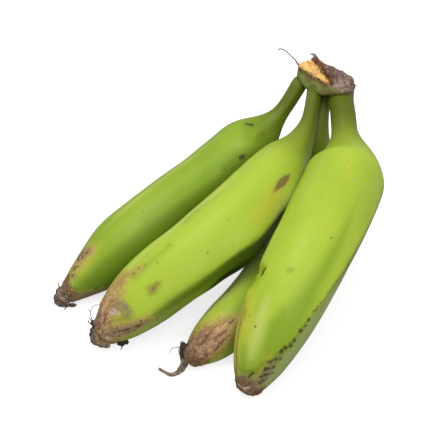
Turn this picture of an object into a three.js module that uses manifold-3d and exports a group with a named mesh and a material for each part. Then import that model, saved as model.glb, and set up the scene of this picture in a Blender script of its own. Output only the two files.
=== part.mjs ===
// A hand of four green plantains, as cut from the stalk and laid down on a table.
//
// Millimetres, +Z up. The hand rests on z = 0, with its crown towards +Y and its fingers fanned
// out towards -Y. Each finger is a loft along its own centre line: a slim angular stalk that
// swells into a fat, faintly five-sided fruit and closes in a blunt end. The stalks are sunk in
// the underside of one crown, whose top is the slanted, torn face where the hand was cut.
// Shrivelled remains of the blossom sit on three of the four ends.

import * as THREE from "three";
import { mergeVertices } from "three/addons/utils/BufferGeometryUtils.js";
import Module from "manifold-3d";

const wasm = await Module();
wasm.setup();

// ---------------------------------------------------------------- driving dimensions

const GAP = 0.35; // clear space between two pieces that grew together

// Centre line: root in the crown, neck, shoulder, belly, middle, taper, tip.
// stalk, girth and tip are radii; neck, shoulder and taper are shares of the length at which
// the stalk ends, the full girth is reached and the fruit starts to close; power is how
// suddenly it closes. Each ridge is [degrees from straight up, how far it stands out of 1],
// and the whole section turns by twist degrees between root and tip.
const FINGERS = {
  finger_1: {
    line: [
      [-10.6, 95.9, 81.8], [-15.2, 75.7, 65.6], [-25.4, 60.3, 50.3], [-35.8, 27.3, 37.9],
      [-48.5, -14.6, 30.3], [-63.3, -52.7, 17.2], [-74.1, -83.4, 6.6],
    ],
    stalk: 5.3, girth: 22, tip: 6.9, neck: 0.11, shoulder: 0.29, taper: 0.77, power: 1.45,
    twist: 5,
    ridges: [[-36, 0.98], [34, 0.98], [104, 1], [178, 1], [250, 1]],
  },
  finger_2: {
    line: [
      [1.2, 92.7, 80], [8.8, 67.3, 69], [7.1, 43.3, 59], [4.5, 3.3, 55.3],
      [-3.1, -37.8, 44.4], [-21.9, -73.9, 27.3], [-34.5, -99.6, 9.4],
    ],
    stalk: 4.9, girth: 21.3, tip: 8.8, neck: 0.09, shoulder: 0.38, taper: 0.36, power: 6.8,
    twist: 60,
    ridges: [[-135, 1.03], [-60, 0.98], [10, 0.98], [78, 1], [150, 1]],
  },
  finger_3: {
    line: [
      [5.2, 102.2, 78.2], [10.7, 82.4, 58.9], [13.9, 72.2, 33.6], [17.1, 40.3, 14.7],
      [26.8, -5.8, 14.4], [28, -50.8, 14.3], [19.4, -89, 7.6],
    ],
    stalk: 4.2, girth: 15.7, tip: 6.2, neck: 0.02, shoulder: 0.34, taper: 0.78, power: 3.8,
    twist: 20,
    ridges: [[-18, 1], [54, 1], [126, 1], [198, 1], [270, 1]],
  },
  finger_4: {
    line: [
      [18.1, 96.9, 81.2], [34, 70.6, 74.9], [46, 51.2, 64], [53.3, 14.2, 59],
      [58, -27, 50.5], [57.9, -62.1, 31.5], [57.1, -88.9, 5.5],
    ],
    stalk: 8, girth: 24.4, tip: 8, neck: 0.15, shoulder: 0.3, taper: 0.27, power: 6,
    twist: 105,
    ridges: [[-145, 1.02], [-76, 0.98], [-8, 1], [66, 1], [140, 1]],
  },
};
const ROOT_SUNK = 1.5; // how far a stalk runs on into the crown past its root point
const FACE_STEPS = 4; // points on each of the five faces of a section
const RINGS = 34; // sections along a finger
const ANGULAR_STALK = 0.55; // 1 is a sharp five-sided section, 0 a round one
const ANGULAR_FRUIT = 0.34;
const EVEN_OUT = 0.05; // share of the length over which a section's tilt is evened out

// The crown is a short thick bar along X. Its top rises from a low rim at the front to a crest,
// which falls away to the right, and its underside drops from the front to the back.
const CROWN = {
  left: -15, right: 26.5, front: 87.8, crest: 101.8, back: 108.3,
  bottom: 73.5, rim: 89.5, top: 98.5,
};
const CROWN_SLOPE = { cut: 0.75, behind: 0.8, under: 0.42, fall: 8 };
const CROWN_RINGS = 18;
const CROWN_SIDES = 24;
const TEAR_RELIEF = 0.7; // depth of the torn fibres on the crown's top

// Dried curl of bark that stands up from the left end of the crown's ridge.
const FLAP = {
  line: [[-1, 99.3, 95], [-3.5, 101.8, 98], [-5.5, 103.3, 100], [-8.8, 101.5, 100.8]],
  root: 3,
  end: 0.9,
};

// Loose fibre at the crown's left corner.
const FIBRE = {
  line: [
    [-15.9, 100.8, 87], [-18, 101.9, 90], [-20, 102.3, 93.5], [-24, 101, 97],
    [-28.9, 97.8, 99],
  ],
  root: 0.5,
  end: 0.35,
};

// Shrivelled blossom remains: a lump at the tip of a fruit, stretched or squashed along it.
const STUBS = {
  blossom_stub_1: {
    finger: "finger_1", at: [-76.3, -87.2, 5], radius: 5.1, stretch: 1.1, bumps: 5,
  },
  blossom_stub_2: {
    finger: "finger_2", at: [-36.8, -103.9, 6.4], radius: 5.8, stretch: 0.62, bumps: 7,
  },
  blossom_scrap_2: {
    finger: "finger_2", at: [-25.1, -96, 2.5], radius: 2.9, stretch: 1, bumps: 4,
  },
};
const STUB_RELIEF = 0.12;

// The third finger keeps its dried style, a curled stalk that trails on the table.
const STYLE = {
  line: [
    [13.5, -86.2, 10.5], [14.6, -90.2, 6.5], [16, -94.3, 3.2], [13.6, -100, 2],
    [8.6, -101.9, 2], [4.4, -102.8, 3],
  ],
  radii: [3.6, 3.2, 2.6, 1.8, 1.6, 2],
};

// ---------------------------------------------------------------- lofts and solids

const clamp01 = (x) => Math.min(1, Math.max(0, x));
const mix = (a, b, t) => a + (b - a) * t;
const smooth = (from, to, x) => {
  const t = clamp01((x - from) / (to - from));
  return t * t * (3 - 2 * t);
};

// A closed skin over rings of equally many points, with a pole at either end.
function loft(rings, startPole, endPole) {
  const sides = rings[0].length;
  const points = [startPole, ...rings.flat(), endPole];
  const last = points.length - 1;
  const at = (ring, side) => 1 + ring * sides + (side % sides);
  const faces = [];
  for (let side = 0; side < sides; side++) {
    faces.push(0, at(0, side + 1), at(0, side));
    for (let ring = 0; ring < rings.length - 1; ring++) {
      const [a, b] = [at(ring, side), at(ring, side + 1)];
      const [c, d] = [at(ring + 1, side + 1), at(ring + 1, side)];
      faces.push(a, c, d, a, b, c);
    }
    faces.push(last, at(rings.length - 1, side), at(rings.length - 1, side + 1));
  }
  const geometry = new THREE.BufferGeometry();
  const positions = points.flatMap((p) => p.toArray());
  geometry.setAttribute("position", new THREE.Float32BufferAttribute(positions, 3));
  geometry.setIndex(faces);
  return geometry;
}

function solid(geometry) {
  const bare = geometry.clone();
  bare.deleteAttribute("normal");
  bare.deleteAttribute("uv");
  const merged = mergeVertices(bare, 1e-4);
  const mesh = new wasm.Mesh({
    numProp: 3,
    vertProperties: new Float32Array(merged.attributes.position.array),
    triVerts: new Uint32Array(merged.index.array),
  });
  return new wasm.Manifold(mesh);
}

// The largest body of a solid, as a geometry: loose scraps left by a cut are dropped.
function geometryOf(manifold) {
  const bodies = manifold.decompose();
  bodies.sort((a, b) => b.volume() - a.volume());
  const mesh = bodies[0].getMesh();
  const geometry = new THREE.BufferGeometry();
  const positions = Array.from(mesh.vertProperties);
  geometry.setAttribute("position", new THREE.Float32BufferAttribute(positions, 3));
  geometry.setIndex(Array.from(mesh.triVerts));
  return geometry;
}

const curveThrough = (line) =>
  new THREE.CatmullRomCurve3(line.map((p) => new THREE.Vector3(...p)), false, "catmullrom", 0.5);

// Directions across a curve at a share of its length: along it, up from it and to its right.
// reach evens out the directions over that share of the curve to either side.
function frameAt(curve, share, reach = 0.01) {
  const ahead = curve.getPointAt(clamp01(share + reach));
  const along = ahead.sub(curve.getPointAt(clamp01(share - reach))).normalize();
  const right = new THREE.Vector3().crossVectors(along, new THREE.Vector3(0, 0, 1)).normalize();
  const up = new THREE.Vector3().crossVectors(right, along).normalize();
  return { point: curve.getPointAt(share), along, right, up };
}

function ringPoint(frame, degrees, radius) {
  const turn = THREE.MathUtils.degToRad(degrees);
  return frame.point
    .clone()
    .addScaledVector(frame.up, Math.cos(turn) * radius)
    .addScaledVector(frame.right, Math.sin(turn) * radius);
}

// A round tapering cord or curl through the given points.
function taperedTube(line, radiusAt, sides, rings) {
  const curve = curveThrough(line);
  const loops = [];
  for (let ring = 0; ring <= rings; ring++) {
    const share = ring / rings;
    const frame = frameAt(curve, share);
    const loop = [];
    for (let side = 0; side < sides; side++) {
      loop.push(ringPoint(frame, (360 * side) / sides, radiusAt(share)));
    }
    loops.push(loop);
  }
  const start = frameAt(curve, 0);
  const end = frameAt(curve, 1);
  return loft(
    loops,
    start.point.clone().addScaledVector(start.along, -0.3 * radiusAt(0)),
    end.point.clone().addScaledVector(end.along, 0.3 * radiusAt(1)),
  );
}

// ---------------------------------------------------------------- fingers

function fingerRadius(finger, share) {
  const swollen = mix(finger.stalk, finger.girth, smooth(finger.neck, finger.shoulder, share));
  const closing = Math.max(0, (share - finger.taper) / (1 - finger.taper));
  return mix(finger.tip, swollen, 1 - closing ** finger.power);
}

// Points of a section as [degrees, reach]: the faces between two ridges are flattened arcs.
function sectionOf(finger, angular) {
  const section = [];
  const first = finger.ridges[0];
  finger.ridges.forEach(([ridge, out], i) => {
    const [next, nextOut] = i < 4 ? finger.ridges[i + 1] : [first[0] + 360, first[1]];
    const half = THREE.MathUtils.degToRad((next - ridge) / 2);
    for (let step = 0; step < FACE_STEPS; step++) {
      const degrees = mix(ridge, next, step / FACE_STEPS);
      const offMiddle = THREE.MathUtils.degToRad(degrees - (ridge + next) / 2);
      const flat = Math.cos(half) / Math.cos(offMiddle);
      const edge = mix(out, nextOut, step / FACE_STEPS);
      section.push([degrees, edge * mix(1, flat, angular)]);
    }
  });
  return section;
}

// grow makes the same finger that much fatter and longer, to cut its neighbours with.
function fingerGeometry(finger, grow = 0) {
  const curve = curveThrough(finger.line);
  const ringAt = (share, radius, shift) => {
    const frame = frameAt(curve, share, EVEN_OUT);
    frame.point.addScaledVector(frame.along, shift);
    const angular = mix(ANGULAR_STALK, ANGULAR_FRUIT, smooth(finger.neck, finger.shoulder, share));
    return sectionOf(finger, angular).map(([degrees, reach]) => {
      const point = ringPoint(frame, degrees + finger.twist * share, radius * reach);
      point.z = Math.max(point.z, -grow); // flat where the fruit lies on the table
      return point;
    });
  };
  const rings = [ringAt(0, 0.75 * finger.stalk + grow, -ROOT_SUNK - grow)];
  for (let ring = 0; ring < RINGS; ring++) {
    const share = ring / (RINGS - 1);
    rings.push(ringAt(share, fingerRadius(finger, share) + grow, 0));
  }
  const roundEnd = [[0.86, 0.26], [0.5, 0.46]]; // [share of the tip radius, how far past the end]
  for (const [reach, past] of roundEnd) {
    rings.push(ringAt(1, reach * finger.tip + grow, past * finger.tip + grow));
  }
  const start = frameAt(curve, 0, EVEN_OUT);
  const end = frameAt(curve, 1, EVEN_OUT);
  return loft(
    rings,
    start.point.clone().addScaledVector(start.along, -ROOT_SUNK - grow),
    end.point.clone().addScaledVector(end.along, 0.52 * finger.tip + 1.6 * grow),
  );
}

// ---------------------------------------------------------------- crown

// Torn fibres and lumps on the cut face, as a height above the sloping plane.
function tear(x, y) {
  const fibres = 0.6 * Math.sin(1.9 * x + 0.6 * y) + 0.3 * Math.sin(3.7 * x);
  const lumps = 0.8 * Math.sin(0.83 * x - 1.3 * y + 1);
  return TEAR_RELIEF * (fibres + lumps);
}

function crownBar() {
  const middle = (CROWN.front + CROWN.back) / 2;
  const depth = (CROWN.back - CROWN.front) / 2;
  const centre = (CROWN.bottom + CROWN.top) / 2;
  const height = (CROWN.top - CROWN.bottom) / 2;
  const squared = (x) => Math.sign(x) * Math.abs(x) ** 0.72;
  const rings = [];
  for (let ring = 0; ring < CROWN_RINGS; ring++) {
    const share = -Math.cos((Math.PI * (ring + 0.6)) / (CROWN_RINGS + 0.2));
    const x = mix(CROWN.left, CROWN.right, (share + 1) / 2);
    const full = (1 - Math.abs(share) ** 4.5) ** 0.45;
    const bulge = 1 + 0.05 * Math.sin(0.5 * x);
    const loop = [];
    for (let side = 0; side < CROWN_SIDES; side++) {
      const turn = (2 * Math.PI * side) / CROWN_SIDES;
      const y = middle + depth * full * bulge * squared(Math.cos(turn));
      const round = centre + height * full * squared(Math.sin(turn));
      const cut = CROWN.rim + CROWN_SLOPE.cut * (y - CROWN.front) + tear(x, y) * full;
      const crest = CROWN.top - CROWN_SLOPE.fall * smooth(3, CROWN.right, x) + 0.5 * tear(x, y);
      const behind = crest + CROWN_SLOPE.behind * (CROWN.crest - y);
      const under = CROWN.bottom + CROWN_SLOPE.under * (CROWN.back - y);
      loop.push(new THREE.Vector3(x, y, Math.max(under, Math.min(round, cut, crest, behind))));
    }
    rings.push(loop);
  }
  const pole = (x) => new THREE.Vector3(x, middle, centre - 2);
  return loft(rings, pole(CROWN.left), pole(CROWN.right));
}

function crownGeometry() {
  let crown = solid(crownBar());
  const flapRadius = (share) => mix(FLAP.root, FLAP.end, share);
  crown = crown.add(solid(taperedTube(FLAP.line, flapRadius, 8, 8)));
  for (const finger of Object.values(FINGERS)) {
    crown = crown.subtract(solid(fingerGeometry(finger, GAP)));
  }
  return geometryOf(crown);
}

// ---------------------------------------------------------------- blossom remains and fibre

function stubGeometry(stub) {
  const finger = FINGERS[stub.finger];
  const tip = frameAt(curveThrough(finger.line), 1, EVEN_OUT);
  const ball = new THREE.SphereGeometry(1, 18, 12);
  const points = ball.attributes.position;
  const p = new THREE.Vector3();
  const centre = new THREE.Vector3(...stub.at);
  const turn = new THREE.Quaternion().setFromUnitVectors(new THREE.Vector3(0, 1, 0), tip.along);
  for (let i = 0; i < points.count; i++) {
    p.fromBufferAttribute(points, i);
    const around = Math.atan2(p.z, p.x);
    const ringShare = Math.hypot(p.x, p.z);
    const lump = 1 + STUB_RELIEF * ringShare * Math.sin(stub.bumps * around + 3 * p.y);
    p.multiplyScalar(stub.radius * lump);
    p.y *= stub.stretch;
    p.applyQuaternion(turn).add(centre);
    p.z = Math.max(p.z, 0);
    points.setXYZ(i, p.x, p.y, p.z);
  }
  return geometryOf(solid(ball).subtract(solid(fingerGeometry(finger, GAP))));
}

function styleGeometry() {
  const steps = STYLE.radii.length - 1;
  const radiusAt = (share) => {
    const i = Math.min(Math.floor(share * steps), steps - 1);
    return mix(STYLE.radii[i], STYLE.radii[i + 1], share * steps - i);
  };
  const tube = solid(taperedTube(STYLE.line, radiusAt, 10, 22));
  return geometryOf(tube.subtract(solid(fingerGeometry(FINGERS.finger_3, GAP))));
}

function fibreGeometry() {
  return taperedTube(FIBRE.line, (share) => mix(FIBRE.root, FIBRE.end, share), 6, 12);
}

// ---------------------------------------------------------------- the hand

const PEEL = { color: 0x9dbb33, roughness: 0.45, metalness: 0 };
const CROWN_TISSUE = { color: 0x6b5a3a, roughness: 0.85, metalness: 0 };
const DRIED = { color: 0x4a3a2c, roughness: 0.95, metalness: 0 };

const hand = new THREE.Group();

function place(name, geometry, look) {
  const mesh = new THREE.Mesh(geometry, new THREE.MeshStandardMaterial(look));
  mesh.name = name;
  hand.add(mesh);
}

for (const [name, finger] of Object.entries(FINGERS)) place(name, fingerGeometry(finger), PEEL);
place("crown", crownGeometry(), CROWN_TISSUE);
for (const [name, stub] of Object.entries(STUBS)) place(name, stubGeometry(stub), DRIED);
place("dried_style_3", styleGeometry(), DRIED);
place("crown_fibre", fibreGeometry(), DRIED);

export default hand;
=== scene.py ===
"""A hand of four unripe plantains: ridged fruit, torn crown and dried blossom remains."""

import math
import random

import bmesh
import bpy
import numpy as np
from mathutils import Color, Matrix, Vector


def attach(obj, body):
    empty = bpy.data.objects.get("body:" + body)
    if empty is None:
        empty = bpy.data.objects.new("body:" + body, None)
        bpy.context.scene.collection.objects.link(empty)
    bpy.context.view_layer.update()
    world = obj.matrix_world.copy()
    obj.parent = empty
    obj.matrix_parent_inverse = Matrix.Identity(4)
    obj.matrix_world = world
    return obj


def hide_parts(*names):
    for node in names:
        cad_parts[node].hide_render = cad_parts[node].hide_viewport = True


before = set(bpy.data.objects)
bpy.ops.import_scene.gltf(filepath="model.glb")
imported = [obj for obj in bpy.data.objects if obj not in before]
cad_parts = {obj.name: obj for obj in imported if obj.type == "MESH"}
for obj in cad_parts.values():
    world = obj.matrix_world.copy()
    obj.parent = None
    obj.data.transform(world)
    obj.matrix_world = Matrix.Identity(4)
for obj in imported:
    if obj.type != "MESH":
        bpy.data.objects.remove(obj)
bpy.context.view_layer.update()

bl_info = {
    "name": "Hand of green plantains",
    "version": (1, 0, 0),
    "blender": (4, 5, 0),
    "location": "3D View > Sidebar > Plantains",
    "description": "Models a hand of four unripe plantains with its torn crown, on a pale floor",
    "category": "Add Mesh",
}

MM = 0.001

# ---------------------------------------------------------------- shapes of the fruit

# Lines are in millimetres: root in the crown, neck, shoulder, belly, middle, taper, tip.
# stalk, girth and tip are radii; neck, shoulder and taper are shares of the length. Each ridge
# is (degrees from straight up at the root, past the middle, at the tip, its height as a share of
# the radius, the degrees over which its edge is rounded). Beyond the first ridge the underside
# facet is darkened with painted shade: how much on the belly, how much at the tip, and over how
# many mm it sets in. Dents are (share, degrees, reach in mm, depth in mm), and below 0 they are
# bulges. Shade is the range of facing towards the painted light over which the painted shade
# gives way to the lit colour, and worn ages the cork.
FRUIT = {
    "fruit_1": {
        "node": "finger_1",
        "ripeness": 0.3,
        "under": (0.6, 0.5, 3.5),
        "line": [
            (-10.6, 95.9, 81.8), (-15.2, 75.7, 65.6), (-25.4, 60.3, 50.3), (-35.8, 27.3, 37.9),
            (-48.5, -14.6, 30.3), (-63.3, -52.7, 17.2), (-74.1, -83.4, 6.6),
        ],
        "stalk": 5.3, "girth": 22, "tip": 6.9,
        "neck": 0.11, "shoulder": 0.29, "taper": 0.77, "power": 1.45,
        "ridges": [
            (-44, -37, -32, 0.06, 14), (34, 30, 28, 0.05, 12), (104, 107, 109, 0.07, 10),
            (178, 181, 183, 0.07, 10), (250, 253, 255, 0.07, 10),
        ],
        "dents": [(0.29, 22, 24, 1.4)],
        "worn": 0.04,
    },
    "fruit_2": {
        "node": "finger_2",
        "ripeness": 1.0,
        "under": (0.95, 0.3, 0.7),
        "shade": (-0.8, -0.15),
        "line": [
            (1.2, 92.7, 80), (8.8, 67.3, 69), (7.1, 43.3, 59), (4.5, 3.3, 55.3),
            (-3.1, -37.8, 44.4), (-21.9, -73.9, 27.3), (-34.5, -99.6, 9.4),
        ],
        "stalk": 4.9, "girth": 21.3, "tip": 8.8,
        "neck": 0.09, "shoulder": 0.38, "taper": 0.36, "power": 6.8,
        "ridges": [
            (-125, -77.5, -79, 0.16, 4), (-210, -134, -112, 0.19, 6), (-35, -15, -5, 0.025, 20),
            (45, 48, 50, 0.06, 8), (135, 165, 185, 0.08, 10),
        ],
        "dents": [(0.28, -90, 16, -1.6), (0.38, -88, 16, -1.6), (0.43, 36, 42, 2.9),
                  (0.34, 44, 22, 1.5), (0.2, 22, 14, 0.9), (0.55, -118, 30, -5),
                  (0.75, -118, 22, 1.3)],
    },
    "fruit_3": {
        "node": "finger_3",
        "ripeness": 0.85,
        "under": (0, 0, 2),
        "shade": (-0.9, -0.35),
        "line": [
            (5.2, 102.2, 78.2), (10.7, 82.4, 58.9), (13.9, 72.2, 33.6), (17.1, 40.3, 14.7),
            (26.8, -5.8, 14.4), (28, -50.8, 14.3), (19.4, -89, 7.6),
        ],
        "stalk": 4.2, "girth": 15.7, "tip": 6.2,
        "neck": 0.02, "shoulder": 0.34, "taper": 0.78, "power": 3.8,
        "ridges": [
            (-40, -52, -60, 0.06, 12), (20, 14, 10, 0.05, 14), (95, 89, 85, 0.07, 10),
            (170, 164, 160, 0.07, 10), (245, 239, 235, 0.07, 10),
        ],
        "worn": 0.03,
    },
    "fruit_4": {
        "node": "finger_4",
        "ripeness": 0.92,
        "under": (0.5, 0.35, 0.9),
        "line": [
            (18.1, 96.9, 81.2), (34, 70.6, 74.9), (46, 51.2, 64), (53.3, 14.2, 59),
            (58, -27, 50.5), (57.9, -62.1, 31.5), (57.1, -88.9, 5.5),
        ],
        "stalk": 8, "girth": 24.4, "tip": 8,
        "neck": 0.15, "shoulder": 0.3, "taper": 0.27, "power": 6,
        "ridges": [
            (-130, -76, -42, 0.13, 5), (26, 6, -8, 0.05, 18), (98, 70, 52, 0.07, 8),
            (160, 136, 120, 0.07, 10), (215, 206, 200, 0.07, 10),
        ],
        "dents": [(0.735, 60, 13, 2), (0.72, 58, 5, 1.8), (0.775, 64, 8, -0.6)],
        "worn": 0.09,
    },
}
AROUND = 20
RINGS = 34
BETWEEN_RIDGES = 0.94  # how far the skin stands out between the ridges, as a share of the radius
RIDGE_SPREAD = 42  # degrees from a ridge over which the skin sinks back
RIDGE_TURNS = (0, 0.6, 1)  # shares of the length at which a ridge's directions are given
LINED_RIDGE = 12  # ridges rounded over no more degrees than this have a rubbed line
STALK_RIDGES = 1.7  # the ridges are this much stronger on the stalk
TIP_ROUNDING = [(0.86, 0.26), (0.5, 0.46)]  # share of the tip radius, how far past the end
TIP_POLE = 0.52
ROOT_SUNK = 1.5
ROOT_NARROWED = 0.75  # the hidden root end is this share of the stalk's radius
ROUNDING_LEVELS = 3
SKIN_LUMPS = 26  # size of the skin's soft lumps in mm
CORK_RELIEF = (2.6, 1.5)  # size and depth in mm
CORK_RISES = (-0.5, 3)  # mm inside its edge at which its relief sets in and is full
TILT_REACH = 0.05  # share of the length over which a section's tilt is evened out
SUBDIVISION_LOSS = 1.017  # a subdivided ring of twenty points comes out this much smaller


def smooth(low, high, value):
    """0 below low, 1 above high, and an S-curve between them."""
    t = np.clip((value - low) / (high - low), 0, 1)
    return t * t * (3 - 2 * t)


class Spine:
    """A smooth line through points, read by share of its length."""

    def __init__(self, points, steps=60):
        p = np.array(points, float) * MM
        p = np.vstack([2 * p[0] - p[1], p, 2 * p[-1] - p[-2]])
        t = np.linspace(0, 1, steps, endpoint=False)[:, None]
        pieces = []
        for a, b, c, d in zip(p, p[1:], p[2:], p[3:]):
            pieces.append(
                0.5 * (2 * b + (c - a) * t + (2 * a - 5 * b + 4 * c - d) * t**2
                       + (3 * b - a - 3 * c + d) * t**3)
            )
        self.places = np.vstack(pieces + [p[-2:-1]])
        gaps = np.linalg.norm(np.diff(self.places, axis=0), axis=1)
        self.reached = np.concatenate([[0], np.cumsum(gaps)])
        self.length = self.reached[-1]

    def at(self, share):
        """The place at a share of the length."""
        where = np.clip(share, 0, 1) * self.length
        return Vector([np.interp(where, self.reached, self.places[:, axis]) for axis in range(3)])

    def along(self, share, reach=TILT_REACH):
        """The direction of the line, evened out over reach to either side."""
        return (self.at(share + reach) - self.at(share - reach)).normalized()

    def turned(self, share, reach=TILT_REACH):
        """Left, up and along as the columns of a matrix."""
        along = self.along(share, reach)
        left = Vector((0, 0, 1)).cross(along).normalized()
        return Matrix((left, along.cross(left), along)).transposed()

    def carried(self, shares):
        """The directions at each share, carried along the line without any twist."""
        turned = self.turned(shares[0], 0.02)
        every = []
        for share in shares:
            along = self.along(share, 0.02)
            turned = turned.col[2].rotation_difference(along).to_matrix() @ turned
            every.append(turned.copy())
        return every


def girth_at(fruit, share):
    """Radius of a fruit at a share of its length, in metres."""
    swollen = fruit["stalk"] + (fruit["girth"] - fruit["stalk"]) * smooth(
        fruit["neck"], fruit["shoulder"], share
    )
    closing = np.clip((share - fruit["taper"]) / (1 - fruit["taper"]), 0, 1)
    return (fruit["tip"] + (swollen - fruit["tip"]) * (1 - closing ** fruit["power"])) * MM


def from_ridges(fruit, share, degrees):
    """How many degrees each place lies from each ridge."""
    return [
        (degrees - np.interp(share, RIDGE_TURNS, turns) + 180) % 360 - 180
        for *turns, _, _ in fruit["ridges"]
    ]


def ridged(fruit, share, degrees):
    """How far the skin stands out at each place, as a share of the radius."""
    strength = 1 + (STALK_RIDGES - 1) * (1 - smooth(fruit["neck"], fruit["shoulder"], share))
    stands = BETWEEN_RIDGES
    for away, (*_, height, rounding) in zip(from_ridges(fruit, share, degrees), fruit["ridges"]):
        away = np.sqrt(away**2 + rounding**2)
        stands = stands + strength * height * (1 - np.minimum(away / RIDGE_SPREAD, 1)) ** 2
    return stands


# ---------------------------------------------------------------- modelling by hand


def only(piece):
    """Selects one piece and nothing else."""
    bpy.ops.object.select_all(action="DESELECT")
    piece.select_set(True)
    bpy.context.view_layer.objects.active = piece


def added(name):
    """Names the primitive that was just added."""
    piece = bpy.context.object
    piece.name = name
    piece.data.name = name
    return piece


def pick(piece, wanted):
    """Selects, in edit mode, just the points that pass a test."""
    bpy.ops.mesh.select_mode(type="VERT")
    bpy.ops.mesh.select_all(action="DESELECT")
    points = bmesh.from_edit_mesh(piece.data)
    for point in points.verts:
        point.select = bool(wanted(point))
    points.select_flush(True)
    bmesh.update_edit_mesh(piece.data)


def swing(about, before, after):
    """Turns what is selected about a place, from one set of directions to another."""
    for axis, angle in zip("XYZ", (after @ before.transposed()).to_euler("XYZ")):
        if abs(angle) > 1e-6:
            bpy.ops.transform.rotate(
                value=-angle, orient_axis=axis, orient_type="GLOBAL", center_override=about
            )


def settle(piece):
    """Leaves a piece's object at the origin, with its place in its mesh."""
    only(piece)
    bpy.ops.object.transform_apply(location=True, rotation=True, scale=True)


def draw_out(piece, stations):
    """Places a ring at the first station and extrudes it through the others."""
    place, turned, size = stations[0]
    piece.matrix_world = Matrix.Translation(place) @ turned.to_4x4() @ Matrix.Scale(size / MM, 4)
    settle(piece)
    bpy.ops.object.mode_set(mode="EDIT")
    bpy.ops.mesh.select_all(action="SELECT")
    bpy.ops.mesh.edge_face_add()
    bpy.ops.mesh.select_mode(type="VERT")
    for next_place, next_turned, next_size in stations[1:]:
        bpy.ops.mesh.extrude_region_move(TRANSFORM_OT_translate={"value": next_place - place})
        swing(next_place, turned, next_turned)
        grown = next_size / size
        bpy.ops.transform.resize(value=(grown, grown, grown), center_override=next_place)
        place, turned, size = next_place, next_turned, next_size


def close_up(piece):
    """Faces a finished mesh outwards and leaves edit mode."""
    bpy.ops.mesh.select_all(action="SELECT")
    bpy.ops.mesh.remove_doubles(threshold=1e-6)
    bpy.ops.mesh.normals_make_consistent(inside=False)
    bpy.ops.object.mode_set(mode="OBJECT")


def apply_modifiers(piece):
    """Makes every modifier of a piece part of its mesh."""
    only(piece)
    for modifier in list(piece.modifiers):
        bpy.ops.object.modifier_apply(modifier=modifier.name)


def subdivide(piece, levels):
    """Rounds a piece by halving its faces again and again."""
    rounding = piece.modifiers.new("rounding", "SUBSURF")
    rounding.levels = rounding.render_levels = levels
    apply_modifiers(piece)


def knead(piece, size, depth, pattern="CLOUDS", group=None, detail=2, middle=0.5):
    """Raises and sinks a surface by a soft pattern of the given size and depth, in millimetres."""
    texture = bpy.data.textures.new(piece.name + "_relief", pattern)
    texture.noise_scale = size * MM
    if pattern == "CLOUDS":
        texture.noise_depth = detail
    relief = piece.modifiers.new("relief", "DISPLACE")
    relief.texture = texture
    relief.texture_coords = "LOCAL"
    relief.strength = depth * MM
    relief.mid_level = middle
    if group:
        relief.vertex_group = group
    apply_modifiers(piece)


def places_of(piece):
    """All points of a mesh as rows of x, y, z in metres."""
    flat = np.empty(3 * len(piece.data.vertices))
    piece.data.vertices.foreach_get("co", flat)
    return flat.reshape(-1, 3)


def stand_on_floor(piece):
    """Presses flat whatever dips below the floor."""
    places = places_of(piece)
    places[:, 2] = np.maximum(places[:, 2], 0)
    piece.data.vertices.foreach_set("co", places.ravel())
    piece.data.update()


def note(piece, name, values, kind="FLOAT"):
    """Keeps one value for each point of a piece, for its material to read."""
    values = np.asarray(values, np.float32)
    layer = piece.data.attributes.new(name, kind, "POINT")
    layer.data.foreach_set("vector" if kind == "FLOAT_VECTOR" else "value", values.ravel())


def group_points(piece, name, weights):
    """A vertex group with a weight for every point, in a hundred steps."""
    group = piece.vertex_groups.new(name=name)
    steps = np.round(np.clip(weights, 0, 1) * 100).astype(int)
    for step in range(1, 101):
        members = np.nonzero(steps == step)[0]
        if len(members):
            group.add(members.tolist(), step / 100, "REPLACE")


def depth_in(places, strokes):
    """How deep each place lies in strokes of (x, y, z, reach) in mm; below 0 is outside."""
    depth = np.full(len(places), -10.0)
    for stroke in strokes:
        path = np.array(stroke, float).reshape(-1, 4)
        if len(path) == 1:
            path = np.vstack([path, path])
        for start, end in zip(path, path[1:]):
            run = (end[:3] - start[:3]) * MM
            reach = max(run @ run, 1e-12)
            share = np.clip((places - start[:3] * MM) @ run / reach, 0, 1)
            away = np.linalg.norm(places - start[:3] * MM - share[:, None] * run, axis=1) / MM
            depth = np.maximum(depth, start[3] + (end[3] - start[3]) * share - away)
    return depth


def finish_piece(piece, material, slot, *nodes):
    """Dresses a piece, smooths it and fastens it to the body."""
    piece.data.materials.clear()
    piece.data.materials.append(material)
    only(piece)
    bpy.ops.object.shade_smooth()
    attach(piece, "root")
    if nodes:
        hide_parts(*nodes)


def cord(name, line, radii, sides=8, steps=16, squash=1.0):
    """A tapering cord through points, with its radius in mm given at even steps."""
    spine = Spine(line)
    shares = np.linspace(0, 1, steps)
    sizes = np.interp(shares, np.linspace(0, 1, len(radii)), radii) * MM
    bpy.ops.object.select_all(action="DESELECT")
    bpy.ops.mesh.primitive_circle_add(vertices=sides, radius=MM)
    piece = added(name)
    if squash != 1:
        piece.scale = (1, squash, 1)
        settle(piece)
    turned = spine.carried(shares)
    draw_out(piece, [(spine.at(a), b, float(c)) for a, b, c in zip(shares, turned, sizes)])
    close_up(piece)
    return piece


def lump(name, place, size, lean=(0, 0, 0)):
    """A ball pressed to three radii in mm and leaned by degrees about x, y and z."""
    bpy.ops.object.select_all(action="DESELECT")
    bpy.ops.mesh.primitive_ico_sphere_add(subdivisions=4, radius=MM)
    piece = added(name)
    piece.scale = size
    piece.rotation_euler = [math.radians(angle) for angle in lean]
    piece.location = Vector(place) * MM
    settle(piece)
    return piece


def joined(name, pieces):
    """Several pieces as one, each keeping its own closed skin."""
    bpy.ops.object.select_all(action="DESELECT")
    for piece in pieces:
        piece.select_set(True)
    bpy.context.view_layer.objects.active = pieces[0]
    bpy.ops.object.join()
    return added(name)


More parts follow.
